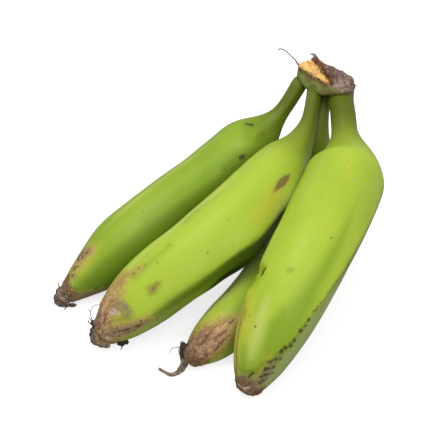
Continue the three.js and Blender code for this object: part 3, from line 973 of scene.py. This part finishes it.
LOOSE_FIBRE_RADII = (0.5, 0.4, 0.36, 0.45)


def dry_blossom(name, remains):
    """Shrivelled petals: lumps melted together and cracked, with crooked cords."""
    body = joined(name, [lump(name, *each) for each in remains["lumps"]])
    one_skin(body, PETAL_GRAIN, 1)
    wrinkles = remains.get("wrinkles", 1)
    size, depth = PETAL_CELLS
    knead(body, size, depth * wrinkles, "VORONOI", middle=0.45)
    size, depth = PETAL_WRINKLES
    knead(body, size, depth * wrinkles, detail=3)
    cords = [cord(name, line, radii, 6, 14) for line, radii in remains["cords"]]
    for each in cords:
        knead(each, *CORD_WRINKLES)
    piece = joined(name, [body, *cords])
    stand_on_floor(piece)
    places = places_of(piece)
    note(piece, "dark", depth_in(places, remains["dark"]))
    note(piece, "tan", depth_in(places, remains["tan"]))
    return piece


def dry_style():
    """The long dried style: a loose bundle of fibres that curls onto the floor, with hairs."""
    chance = random.Random("style")
    spine = Spine(STYLE)
    shares = np.linspace(0, 1, 9)
    fibres = []
    for number in range(STYLE_FIBRES):
        turn = 2 * math.pi * (number + chance.random()) / STYLE_FIBRES
        away = math.sqrt((number + 0.5) / STYLE_FIBRES)
        last = 1 if number < STYLE_LONG_FIBRES else chance.uniform(0.35, 0.8)
        line = []
        for share in shares * last:
            turn += chance.gauss(0.25, 0.3)
            spread = float(np.interp(share, np.linspace(0, 1, len(STYLE_SPREAD)), STYLE_SPREAD))
            left, up, _ = spine.turned(share).col
            sway = spread * away * (1 + chance.gauss(0, 0.15))
            point = spine.at(share) / MM + (left * math.cos(turn) + up * math.sin(turn)) * sway
            line.append((point.x, point.y, max(point.z, 0.4)))
        thick = chance.uniform(0.5, 1.0)
        fibres.append(cord("dried_style", line, (thick, thick, thick * 0.8, thick * 0.5), 6, 26))
    fibres += [cord("dried_style", line, radii, 5, 16) for line, radii in STYLE_HAIRS]
    piece = joined("dried_style", fibres)
    knead(piece, *STYLE_WRINKLES)
    stand_on_floor(piece)
    places = places_of(piece)
    note(piece, "dark", depth_in(places, STYLE_DARK))
    note(piece, "tan", depth_in(places, STYLE_TAN))
    return piece


# ---------------------------------------------------------------- nodes


def shade(code):
    """A colour written as on a paint chart, as linear red, green and blue."""
    parts = [int(code[i:i + 2], 16) / 255 for i in (1, 3, 5)]
    return tuple(p / 12.92 if p <= 0.04045 else ((p + 0.055) / 1.055) ** 2.4 for p in parts)


def add(tree, kind, inputs=None, **settings):
    """A node with its settings, its inputs set or wired."""
    node = tree.nodes.new(kind)
    for name, value in settings.items():
        setattr(node, name, value)
    for socket, value in (inputs or {}).items():
        if isinstance(value, bpy.types.NodeSocket):
            tree.links.new(value, node.inputs[socket])
        else:
            node.inputs[socket].default_value = (*value, 1) if isinstance(value, Color) else value
    return node


def read(tree, name, output="Fac"):
    """A value that was noted on the piece."""
    return add(tree, "ShaderNodeAttribute", attribute_name=name).outputs[output]


def arithmetic(operation):
    """A function that wires two values into one."""

    def combined(tree, first, second, clamp=False):
        inputs = {0: first, 1: second}
        return add(tree, "ShaderNodeMath", inputs, operation=operation, use_clamp=clamp).outputs[0]

    return combined


plus = arithmetic("ADD")
minus = arithmetic("SUBTRACT")
times = arithmetic("MULTIPLY")
larger = arithmetic("MAXIMUM")


def step(tree, value, low, high, to_low=0.0, to_high=1.0):
    """A soft step from one value to another as the input goes from low to high."""
    inputs = {"Value": value, 1: low, 2: high, 3: to_low, 4: to_high}
    node = add(tree, "ShaderNodeMapRange", inputs, interpolation_type="SMOOTHSTEP")
    return node.outputs[0]


def mixed(tree, amount, below, above):
    """One colour laid over another."""
    return add(tree, "ShaderNodeMix", {0: amount, 6: below, 7: above}, data_type="RGBA").outputs[2]


def paint(tree, colour, *coats):
    """Coats of colour laid one over another, each given as (mask, colour)."""
    for mask, coat in coats:
        colour = mixed(tree, mask, colour, coat)
    return colour


def stretched(tree, place, scale):
    """Coordinates that draw a pattern out along the axes with a small scale."""
    return add(tree, "ShaderNodeMapping", {"Vector": place, "Scale": scale}).outputs[0]


def clouds(tree, place, scale, detail=3.0, rough=0.55):
    """A soft pattern between 0 and 1."""
    inputs = {"Vector": place, "Scale": scale, "Detail": detail, "Roughness": rough}
    return add(tree, "ShaderNodeTexNoise", inputs).outputs["Fac"]


def group_of(name, inputs, outputs):
    """A new node group with named inputs and outputs."""
    tree = bpy.data.node_groups.new(name, "ShaderNodeTree")
    for socket, kind, value in inputs:
        made = tree.interface.new_socket(socket, in_out="INPUT", socket_type="NodeSocket" + kind)
        if value is not None:
            made.default_value = value
    for socket, kind in outputs:
        tree.interface.new_socket(socket, in_out="OUTPUT", socket_type="NodeSocket" + kind)
    return tree, tree.nodes.new("NodeGroupInput").outputs, tree.nodes.new("NodeGroupOutput").inputs


def ragged_patch_group():
    """A mask from a painted depth, with its edge broken up."""
    tree, given, out = group_of(
        "ragged_patch",
        [("Depth", "Float", 0.0), ("Place", "Vector", None), ("Grain", "Float", 500.0),
         ("Raggedness", "Float", 1.0), ("Softness", "Float", 0.4)],
        [("Mask", "Float")],
    )
    grain = clouds(tree, given["Place"], given["Grain"], 4.0, 0.6)
    dust = clouds(tree, given["Place"], times(tree, given["Grain"], 4.5), 2.0)
    grain = plus(tree, grain, times(tree, dust, 0.45))
    wobble = times(tree, minus(tree, grain, 0.725), given["Raggedness"])
    depth = plus(tree, given["Depth"], times(tree, wobble, 2.0))
    low = times(tree, given["Softness"], -1.0)
    tree.links.new(step(tree, depth, low, given["Softness"]), out["Mask"])
    return tree


def dry_tissue_group():
    """Dried plant tissue: light and dark fibres, cracks and their relief."""
    tree, given, out = group_of(
        "dry_tissue",
        [("Place", "Vector", None), ("Grain", "Float", 400.0), ("Light", "Color", None),
         ("Dark", "Color", None), ("Crack", "Color", None), ("Cracks", "Float", 0.5)],
        [("Color", "Color"), ("Height", "Float")],
    )
    place, size = given["Place"], given["Grain"]
    stir = add(tree, "ShaderNodeTexNoise", {
        "Vector": place, "Scale": times(tree, size, 0.6), "Detail": 2.0,
    }).outputs["Color"]
    stir = add(tree, "ShaderNodeVectorMath", {0: stir, 1: (0.5, 0.5, 0.5)}, operation="SUBTRACT")
    stirred = add(tree, "ShaderNodeVectorMath", {
        0: stir.outputs[0], 1: (0.004, 0.004, 0.004), 2: place,
    }, operation="MULTIPLY_ADD").outputs[0]
    fine = clouds(tree, stirred, size, 5.0, 0.7)
    coarse = clouds(tree, place, times(tree, size, 0.25))
    body = plus(tree, times(tree, fine, 0.55), times(tree, coarse, 0.45))
    colour = mixed(tree, step(tree, body, 0.42, 0.58), given["Dark"], given["Light"])
    cells = add(
        tree, "ShaderNodeTexVoronoi", {"Vector": stirred, "Scale": times(tree, size, 0.5)},
        feature="DISTANCE_TO_EDGE",
    ).outputs["Distance"]
    crack = step(tree, plus(tree, cells, times(tree, coarse, 0.2)), 0.08, 0.17, 1, 0)
    crack = times(tree, crack, given["Cracks"])
    tree.links.new(mixed(tree, crack, colour, given["Crack"]), out["Color"])
    tree.links.new(minus(tree, body, times(tree, crack, 0.5)), out["Height"])
    return tree


def ragged(tree, patch, depth, place, grain, raggedness, softness):
    """The shared ragged mask, placed with its own values."""
    inputs = {
        "Depth": depth, "Place": place, "Grain": grain, "Raggedness": raggedness,
        "Softness": softness,
    }
    return add(tree, "ShaderNodeGroup", inputs, node_tree=patch).outputs["Mask"]


def dry_tissue(tree, tissue, place, grain, light, dark, crack, cracks):
    """The shared dried tissue, placed with its own values."""
    inputs = {
        "Place": place, "Grain": grain, "Light": light, "Dark": dark, "Crack": crack,
        "Cracks": cracks,
    }
    return add(tree, "ShaderNodeGroup", inputs, node_tree=tissue).outputs


def new_material(name):
    """A material with a plain finish, ready for its colour."""
    material = bpy.data.materials.new(name)
    material.use_nodes = True
    tree = material.node_tree
    tree.nodes.clear()
    shader = add(tree, "ShaderNodeBsdfPrincipled")
    surface = add(tree, "ShaderNodeOutputMaterial")
    tree.links.new(shader.outputs[0], surface.inputs["Surface"])
    return material, tree, shader


def relieve(tree, shader, height, distance, strength):
    """Gives a finish its fine relief."""
    inputs = {"Height": height, "Distance": distance, "Strength": strength}
    bump = add(tree, "ShaderNodeBump", inputs)
    tree.links.new(bump.outputs[0], shader.inputs["Normal"])


# ---------------------------------------------------------------- materials

PEEL_MARKS = {  # grain, raggedness and softness of each kind of mark
    "stain": (340.0, 2.4, 2.6), "bloom_and_floor_reflection": (160.0, 4.0, 5.0), "pale": (700.0, 1.2, 0.8),
    "speck": (800.0, 2.2, 0.5), "scar": (600.0, 0.9, 0.7), "bruise": (420.0, 2.4, 2.2),
}
CORK_EDGE = (330.0, 5.0)  # grain and raggedness


def peel_material(settings, patch, tissue):
    """Green waxy skin with its cork, scars, specks and bloom, with painted shade, painted
    highlights, a painted shadow between fruit and a painted reflection of the floor.
    """
    material, tree, shader = new_material("green_peel")
    place = read(tree, "laid_straight", "Vector")
    long = stretched(tree, place, (1, 1, 0.12))
    fibre = clouds(tree, long, 900)
    blotch = clouds(tree, stretched(tree, place, (1, 1, 0.4)), 45)
    marks = {
        kind: ragged(tree, patch, read(tree, kind), place, *edge)
        for kind, edge in PEEL_MARKS.items()
    }

    ripe = plus(tree, read(tree, "ripeness"), minus(tree, blotch, 0.5), clamp=True)
    sunny = mixed(tree, ripe, settings.young, settings.sunny)
    # painted shade: skin turned from the painted light takes the shady colour, the rest the lit
    # colour
    colour = mixed(tree, read(tree, "painted_lit_side"), settings.shady, sunny)
    # painted shade (deep) in grooves and below ridges, and painted highlights (light) along the
    # crests
    for kind, soft, most in (("deep", 5, 0.75), ("light", 4, 0.4)):
        depth = plus(tree, read(tree, kind), times(tree, blotch, 4.0))
        part = step(tree, depth, 2 - soft, 2 + soft, 0, most)
        colour = mixed(tree, part, colour, getattr(settings, kind))
    warm = plus(tree, read(tree, "warm"), times(tree, blotch, 6.0))
    rubbed = ragged(tree, patch, read(tree, "ridge"), long, 260.0, 3.4, 0.9)
    # grey-green bloom on the lower facets, partly a painted reflection of the floor
    bloom = times(tree, marks["bloom_and_floor_reflection"], read(tree, "facet"))
    sore = step(tree, read(tree, "scar"), -2.6, -0.2)

    depth = read(tree, "cork")
    cork = ragged(tree, patch, minus(tree, depth, 0.6), place, *CORK_EDGE, 2.4)
    margin = ragged(tree, patch, plus(tree, depth, 1.8), place, *CORK_EDGE, 3.0)
    blur = clouds(tree, place, 260, 4.0)
    age = plus(tree, read(tree, "age"), times(tree, blur, 0.16))
    golden = step(tree, age, 1.04, 1.11, 0.9, 0.1)
    colour = paint(
        tree, colour,
        # painted shade on the underside facet, then a painted shadow where fruit press together
        (read(tree, "under"), settings.shady),
        (step(tree, read(tree, "painted_crease_shadow"), -3, 3), settings.painted_crease_shadow),
        (step(tree, warm, -1, 9, 0, 0.7), settings.warm),
        (read(tree, "stalk"), settings.stalk),
        (step(tree, fibre, 0.3, 0.7, 0, settings.streaks), settings.shady),
        (times(tree, marks["stain"], 0.65), settings.stain),
        (times(tree, rubbed, 0.4), settings.ridge),
        # bloom, partly a painted reflection of the floor on the lower facets
        (times(tree, bloom, 0.8), settings.bloom_and_floor_reflection),
        (times(tree, sore, 0.4), settings.scar_halo),
        (times(tree, marks["scar"], 0.9), settings.scar),
        (times(tree, margin, golden), settings.cork_young),
    )

    grown_in = stretched(tree, place, (1, 1, 0.22))
    dry = dry_tissue(
        tree, tissue, grown_in, 800.0, settings.cork_light, settings.cork_dark,
        settings.cork_crack, 0.6,
    )
    strands = clouds(tree, stretched(tree, place, (1, 1, 0.1)), 520, 2.0)
    thin = step(tree, plus(tree, depth, times(tree, blur, 8.0)), 5, 9.5, 1, 0)
    thin = larger(tree, times(tree, thin, golden), step(tree, age, 0.96, 1.04, 0.7, 0))
    corky = paint(
        tree, dry["Color"],
        (step(tree, clouds(tree, grown_in, 1100), 0.55, 0.66, 0, 0.5), settings.cork_flake),
        (step(tree, strands, 0.52, 0.62, 0, 0.7), settings.cork_dark),
        (step(tree, strands, 0.36, 0.46, 0.55, 0), settings.cork_flake),
        (step(tree, age, 1.03, 1.12, 0, 0.75), settings.cork_old),
        # painted shade: cork turned from the painted light is darker
        (step(tree, read(tree, "painted_lit_side"), 0.2, 0.9, 0.55, 0), settings.cork_old),
        (thin, settings.cork_young),
        (step(tree, clouds(tree, place, 1000, 2.0), 0.34, 0.42, 0.7, 0), settings.cork_crack),
    )
    mottled = step(tree, clouds(tree, place, 650), 0.36, 0.56, 0.45, 0.95)
    colour = paint(
        tree, colour,
        (cork, corky),
        (times(tree, marks["bruise"], mottled), settings.bruise),
        (times(tree, marks["pale"], mottled), settings.pale),
        (times(tree, marks["speck"], 0.85), settings.speck),
    )
    tree.links.new(colour, shader.inputs["Base Color"])
    tree.links.new(step(tree, cork, 0, 1, settings.roughness, 0.85), shader.inputs["Roughness"])
    height = plus(tree, times(tree, cork, dry["Height"]), times(tree, fibre, 0.04))
    height = minus(tree, height, times(tree, marks["scar"], 0.25))
    relieve(tree, shader, height, 0.0008, 0.6)
    shader.inputs["Specular IOR Level"].default_value = 0.2
    return material


def crown_material(settings, patch, tissue):
    """Green rim, torn cream flesh, dried bark and the dark torn edge between them."""
    material, tree, shader = new_material("crown_tissue")
    place = add(tree, "ShaderNodeTexCoord").outputs["Object"]
    mottle = clouds(tree, place, 260, 4.0)
    dry_edge = plus(tree, read(tree, "torn"), times(tree, mottle, 4.0))
    dried = plus(tree, read(tree, "dried"), times(tree, mottle, 5.0))
    rim = paint(
        tree, settings.rim,
        (step(tree, mottle, 0.38, 0.66), settings.rim_dark),
        (step(tree, read(tree, "stalk"), -3, 0.8), settings.stalk),
        (step(tree, dry_edge, -1.5, 3, 0, 0.7), settings.rim_dry),
        # dried lower edge of the rim, partly a painted shade line under its lip
        (step(tree, dried, 1, 4, 0, 0.85), settings.rim_dry),
    )

    bark = dry_tissue(
        tree, tissue, place, 520.0, settings.bark, settings.bark_dark, settings.bark_crack, 0.45
    )
    bark_mask = ragged(tree, patch, read(tree, "bark"), place, 420.0, 2.4, 0.5)
    flesh = dry_tissue(
        tree, tissue, stretched(tree, place, (0.5, 1, 1)), 760.0, settings.flesh,
        settings.flesh_dark, settings.flesh_stain, 0.3,
    )
    flesh_mask = ragged(tree, patch, read(tree, "flesh"), place, 520.0, 2.6, 0.35)
    stain = step(tree, clouds(tree, place, 190, 4.0), 0.52, 0.68, 0, 0.6)
    fresh = mixed(tree, stain, flesh["Color"], settings.flesh_stain)
    torn = ragged(tree, patch, read(tree, "torn"), place, 700.0, 2.2, 0.5)
    red = mixed(tree, step(tree, mottle, 0.4, 0.6), settings.torn, settings.bark_crack)
    colour = paint(
        tree, rim, (bark_mask, bark["Color"]), (flesh_mask, fresh), (times(tree, torn, 0.85), red)
    )
    tree.links.new(colour, shader.inputs["Base Color"])
    shader.inputs["Roughness"].default_value = 0.78
    shader.inputs["Specular IOR Level"].default_value = 0.3
    height = mixed(tree, flesh_mask, bark["Height"], flesh["Height"])
    dry = larger(tree, larger(tree, bark_mask, flesh_mask), 0.15)
    relieve(tree, shader, times(tree, height, dry), 0.0009, 0.8)
    return material


def fibre_material(name, light, dark, tissue):
    """One kind of torn fibre, lighter and darker along its length."""
    material, tree, shader = new_material(name)
    place = add(tree, "ShaderNodeTexCoord").outputs["Object"]
    dry = dry_tissue(tree, tissue, place, 500.0, light, dark, dark, 0.3)
    tree.links.new(dry["Color"], shader.inputs["Base Color"])
    relieve(tree, shader, dry["Height"], 0.0003, 0.6)
    shader.inputs["Roughness"].default_value = 0.8
    return material


def blossom_material(settings, tissue):
    """Shrivelled grey-brown petals, blackened and tan in places, the blackening at their bottoms
    partly a painted contact shadow.
    """
    material, tree, shader = new_material("dried_blossom")
    place = add(tree, "ShaderNodeTexCoord").outputs["Object"]
    dry = dry_tissue(
        tree, tissue, place, 560.0, settings.petal, settings.petal_dark, settings.petal_black, 0.8
    )
    blur = times(tree, clouds(tree, place, 420, 4.0), 3.0)
    colour = paint(
        tree, dry["Color"],
        (step(tree, plus(tree, read(tree, "tan"), blur), 0.6, 2.6, 0, 0.8), settings.petal_tan),
        # blackened tissue, and at the pieces' bottoms partly a painted contact shadow
        (step(tree, plus(tree, read(tree, "dark"), blur), 0.6, 2.6, 0, 0.85), settings.petal_black),
    )
    tree.links.new(colour, shader.inputs["Base Color"])
    relieve(tree, shader, dry["Height"], 0.0007, 0.8)
    shader.inputs["Roughness"].default_value = 0.8
    shader.inputs["Specular IOR Level"].default_value = 0.35
    return material


# ---------------------------------------------------------------- settings


def colour_setting(name, description, code):
    """A colour in the panel."""
    return bpy.props.FloatVectorProperty(
        name=name, description=description, default=shade(code), subtype="COLOR", size=3,
        min=0, max=1,
    )


def number_setting(name, description, default, low=0, high=1, unit="NONE"):
    """A number in the panel."""
    return bpy.props.FloatProperty(
        name=name, description=description, default=default, min=low, max=high, unit=unit
    )


class PeelSettings(bpy.types.PropertyGroup):
    """Colours and finish of the green skin."""

    sunny: colour_setting("Ripe skin", "Skin that has begun to ripen", "#a1b836")
    young: colour_setting("Young skin", "Skin that is still deep green", "#769420")
    # painted shade: the colour of skin turned from the painted light and of the underside facet;
    # also the fine streaks
    shady: colour_setting("Shady side", "Skin that faced away from the light", "#4a6410")
    warm: colour_setting("Warm tint", "Patches that have begun to yellow", "#b8b43a")
    stalk: colour_setting("Stalk", "Olive green of the stalks", "#535f08")
    # grey-green bloom, partly a painted reflection of the pale floor on the lower facets
    bloom_and_floor_reflection: colour_setting("Haze", "Grey-green bloom on the rubbed faces", "#98a660")
    # painted shadow where two fruit press together
    painted_crease_shadow: colour_setting("Crease", "Dark skin where two fruit press together", "#1c2a08")
    # painted shade: darker green in grooves, on far sides and below ridges
    deep: colour_setting("Deep green", "Grooves and shoulders that stay deep green", "#6f8f16")
    # painted highlights along the crests, and painted light on skin that lies in shade
    light: colour_setting("Light band", "Lighter bands along the crests", "#c8d07c")
    ridge: colour_setting("Ridge lines", "Rubbed brownish line along the ridges", "#7c7a34")
    pale: colour_setting("Pale flecks", "Whitish scuffs and flecks", "#b8a890")
    speck: colour_setting("Specks", "Small dark specks and nicks", "#2a2a12")
    scar: colour_setting("Scars", "Brown healed scars", "#745f34")
    scar_halo: colour_setting("Scar halo", "Ring of sore skin round a scar", "#a88a4a")
    cork_young: colour_setting("Young cork", "Golden edge of the corky ends", "#a99a4c")
    cork_light: colour_setting("Light cork", "Light fibres of the corky ends", "#ba946e")
    cork_dark: colour_setting("Dark cork", "Dark fibres of the corky ends", "#7a583f")
    cork_crack: colour_setting("Cork cracks", "Cracks in the corky ends", "#3a2a20")
    cork_old: colour_setting("Old cork", "Darkest, oldest part of the cork", "#624a38")
    cork_flake: colour_setting("Cork flakes", "Pale lifted flakes of the cork", "#d0ac84")
    bruise: colour_setting("Bruises", "Purple-grey rubbed skin beside the cork", "#857255")
    stain: colour_setting("Stains", "Soft darker spots", "#565a14")
    streaks: number_setting("Streaks", "Strength of the fine streaks along the fruit", 0.05)
    roughness: number_setting("Roughness", "Roughness of the waxy skin", 0.42)
    unevenness: number_setting("Unevenness", "Soft lumps of the skin, in mm", 0.9, high=3)


class CrownSettings(bpy.types.PropertyGroup):
    """Colours of the torn crown."""

    rim: colour_setting("Rim", "Green rim of the crown", "#7e8440")
    stalk: colour_setting("Stalk ends", "Where the stalks leave the crown", "#5a6b1c")
    rim_dark: colour_setting("Dark rim", "Mottles on the rim", "#6c6c36")
    # also the rim's dried lower edge, partly a painted shade line under its lip
    rim_dry: colour_setting("Dry rim", "Dried upper edge of the rim", "#6a5638")
    flesh: colour_setting("Flesh", "Torn cream flesh", "#f2c878")
    flesh_dark: colour_setting("Dark flesh", "Deeper folds of the flesh", "#dba65e")
    flesh_stain: colour_setting("Stained flesh", "Flesh that has begun to brown", "#a8703c")
    bark: colour_setting("Bark", "Dried bark", "#958271")
    bark_dark: colour_setting("Dark bark", "Hollows of the bark", "#69554f")
    bark_crack: colour_setting("Bark cracks", "Cracks in the bark", "#3a2826")
    torn: colour_setting("Torn edge", "Red-brown torn edge of the flesh", "#6e3a22")
    strand: colour_setting("Strands", "Light side of the torn strands", "#94603a")
    fringe: colour_setting("Fringe", "Light side of the fringe fibres", "#8f6e44")
    splinter: colour_setting("Splinters", "Pale splinters at the flesh's corner", "#f2e6c0")


class BlossomSettings(bpy.types.PropertyGroup):
    """Colours of the dried blossom remains."""

    petal: colour_setting("Petals", "Light side of the shrivelled petals", "#938472")
    petal_dark: colour_setting("Dark petals", "Dark side of the shrivelled petals", "#54453a")
    # also darkens the pieces' bottoms where they meet the floor, partly as a painted contact shadow
    petal_black: colour_setting("Black petals", "Blackened ends and cracks", "#231b1a")
    petal_tan: colour_setting("Tan petals", "Tan fibres", "#a98560")
    loose: colour_setting("Loose fibre", "The loose fibre at the crown", "#6f625a")


class StageSettings(bpy.types.PropertyGroup):
    """Floor, light and camera."""

    floor: colour_setting("Floor", "Colour of the floor", "#b4b4b2")
    floor_glow: number_setting("Floor glow", "Lightens the floor's shadows", 0.72, high=2)
    room: number_setting("Room light", "Strength of the room's even light", 0.72, high=3)
    key: number_setting("Key light", "Strength of the soft light", 12.5, high=1000, unit="POWER")
    lens: number_setting("Lens", "Focal length on a 36 mm sensor", 78.5, low=20, high=300)


# ---------------------------------------------------------------- operators

FLOOR_SIZE = 14
WHITE = (1, 1, 1, 1)
BLACK = (0, 0, 0, 1)
LIGHTS = {  # place, size, share of the key light's strength, colour
    "key_light": ((-0.35, -0.1, 1.6), 0.9, 1, (1, 0.985, 0.95)),
    "fill_light": ((0.7, -0.45, 1.2), 1.0, 0.45, (1, 0.99, 0.97)),
}
CAMERA_PLACE = (0.2236, -0.3931, 0.4416)
CAMERA_AIM = (-0.029, 0.0273, 0)
SENSOR_WIDTH = 36


def shared_groups():
    """The two node groups that the materials share, built the first time they are wanted."""
    built = bpy.data.node_groups
    patch = built.get("ragged_patch") or ragged_patch_group()
    return patch, built.get("dry_tissue") or dry_tissue_group()


class PLANTAINS_OT_fruit(bpy.types.Operator):
    """Grow the four ridged fruit on their stalks"""

    bl_idname = "plantains.fruit"
    bl_label = "Fruit"

    def execute(self, context):
        settings = context.scene.plantains_peel
        material = peel_material(settings, *shared_groups())
        for name, fruit in FRUIT.items():
            piece = grow_fruit(name, fruit, settings)
            finish_piece(piece, material, "green_peel", fruit["node"])
        return {"FINISHED"}


class PLANTAINS_OT_crown(bpy.types.Operator):
    """Carve the torn crown that joins the stalks, with its torn strands, fringe and splinters"""

    bl_idname = "plantains.crown"
    bl_label = "Crown"

    def execute(self, context):
        settings = context.scene.plantains_crown
        patch, tissue = shared_groups()
        crown = carve_crown()
        finish_piece(crown, crown_material(settings, patch, tissue), "crown_tissue", "crown")
        colours = {
            "torn_strands": (settings.strand, settings.torn),
            "cut_fringe": (settings.fringe, settings.rim_dry),
            "pale_splinters": (settings.splinter, settings.flesh_dark),
        }
        for name, (light, dark) in colours.items():
            material = fibre_material(name, light, dark, tissue)
            finish_piece(scatter_fibres(name), material, "crown_tissue")
        return {"FINISHED"}


class PLANTAINS_OT_blossom(bpy.types.Operator):
    """Shrivel the dried blossom remains at the fruit's ends"""

    bl_idname = "plantains.blossom"
    bl_label = "Blossom remains"

    def execute(self, context):
        settings = context.scene.plantains_blossom
        material = blossom_material(settings, shared_groups()[1])
        for name, remains in BLOSSOM.items():
            finish_piece(dry_blossom(name, remains), material, "dried_blossom", remains["node"])
        finish_piece(dry_style(), material, "dried_blossom", "dried_style_3")
        return {"FINISHED"}


class PLANTAINS_OT_loose_fibre(bpy.types.Operator):
    """Draw the loose dried fibre at the crown's corner"""

    bl_idname = "plantains.loose_fibre"
    bl_label = "Loose fibre"

    def execute(self, context):
        settings = context.scene.plantains_blossom
        tissue = shared_groups()[1]
        material = fibre_material("loose_fibre", settings.loose, settings.petal_dark, tissue)
        fibre = cord("loose_fibre", LOOSE_FIBRE, LOOSE_FIBRE_RADII, 6, 30)
        finish_piece(fibre, material, "dried_blossom", "crown_fibre")
        return {"FINISHED"}


class PLANTAINS_OT_stage(bpy.types.Operator):
    """Lay the pale floor and set the soft light and the camera"""

    bl_idname = "plantains.stage"
    bl_label = "Stage"

    def execute(self, context):
        settings = context.scene.plantains_stage
        bpy.ops.object.select_all(action="DESELECT")
        bpy.ops.mesh.primitive_plane_add(size=FLOOR_SIZE)
        floor = added("floor")
        material, tree, shader = new_material("pale_floor")
        shader.inputs["Base Color"].default_value = (*settings.floor, 1)
        shader.inputs["Roughness"].default_value = 0.9
        shader.inputs["Specular IOR Level"].default_value = 0.2
        seen = add(tree, "ShaderNodeLightPath").outputs["Is Camera Ray"]
        tree.links.new(mixed(tree, seen, BLACK, WHITE), shader.inputs["Emission Color"])
        shader.inputs["Emission Strength"].default_value = settings.floor_glow
        floor.data.materials.append(material)

        world = bpy.data.worlds.new("soft_room")
        world.use_nodes = True
        background = world.node_tree.nodes["Background"].inputs
        background["Color"].default_value = WHITE
        background["Strength"].default_value = settings.room
        context.scene.world = world
        for name, (place, size, share, colour) in LIGHTS.items():
            self.hang_light(name, place, size, settings.key * share, colour)

        bpy.ops.object.camera_add(location=CAMERA_PLACE)
        camera = bpy.context.object
        camera.name = "camera"
        aim = Vector(CAMERA_AIM) - camera.location
        camera.rotation_euler = aim.to_track_quat("-Z", "Y").to_euler()
        camera.data.lens = settings.lens
        camera.data.sensor_width = SENSOR_WIDTH
        camera.data.clip_start = 0.01
        context.scene.camera = camera
        context.scene.view_settings.view_transform = "Standard"
        return {"FINISHED"}

    @staticmethod
    def hang_light(name, place, size, power, colour):
        """A round soft light that faces the middle of the floor."""
        bpy.ops.object.light_add(type="AREA", location=place)
        light = bpy.context.object
        light.name = name
        light.data.shape = "DISK"
        light.data.size = size
        light.data.energy = power
        light.data.color = colour
        light.rotation_euler = (-Vector(place)).to_track_quat("-Z", "Y").to_euler()


class PLANTAINS_PT_panel(bpy.types.Panel):
    """Lists the settings and the pieces"""

    bl_idname = "PLANTAINS_PT_panel"
    bl_label = "Hand of plantains"
    bl_space_type = "VIEW_3D"
    bl_region_type = "UI"
    bl_category = "Plantains"

    def draw(self, context):
        for group in SETTINGS:
            settings = getattr(context.scene, group)
            box = self.layout.box()
            for name in settings.__annotations__:
                box.prop(settings, name)
        for operator in OPERATORS:
            self.layout.operator(operator.bl_idname)


SETTINGS = {
    "plantains_peel": PeelSettings,
    "plantains_crown": CrownSettings,
    "plantains_blossom": BlossomSettings,
    "plantains_stage": StageSettings,
}
OPERATORS = (
    PLANTAINS_OT_fruit,
    PLANTAINS_OT_crown,
    PLANTAINS_OT_blossom,
    PLANTAINS_OT_loose_fibre,
    PLANTAINS_OT_stage,
)


def register():
    for cls in (*SETTINGS.values(), *OPERATORS, PLANTAINS_PT_panel):
        bpy.utils.register_class(cls)
    for name, cls in SETTINGS.items():
        setattr(bpy.types.Scene, name, bpy.props.PointerProperty(type=cls))


def unregister():
    for name in SETTINGS:
        delattr(bpy.types.Scene, name)
    for cls in (PLANTAINS_PT_panel, *reversed(OPERATORS), *reversed(SETTINGS.values())):
        bpy.utils.unregister_class(cls)


def main():
    register()
    bpy.ops.plantains.fruit()
    bpy.ops.plantains.crown()
    bpy.ops.plantains.blossom()
    bpy.ops.plantains.loose_fibre()
    bpy.ops.plantains.stage()


if __name__ == "__main__":
    main()
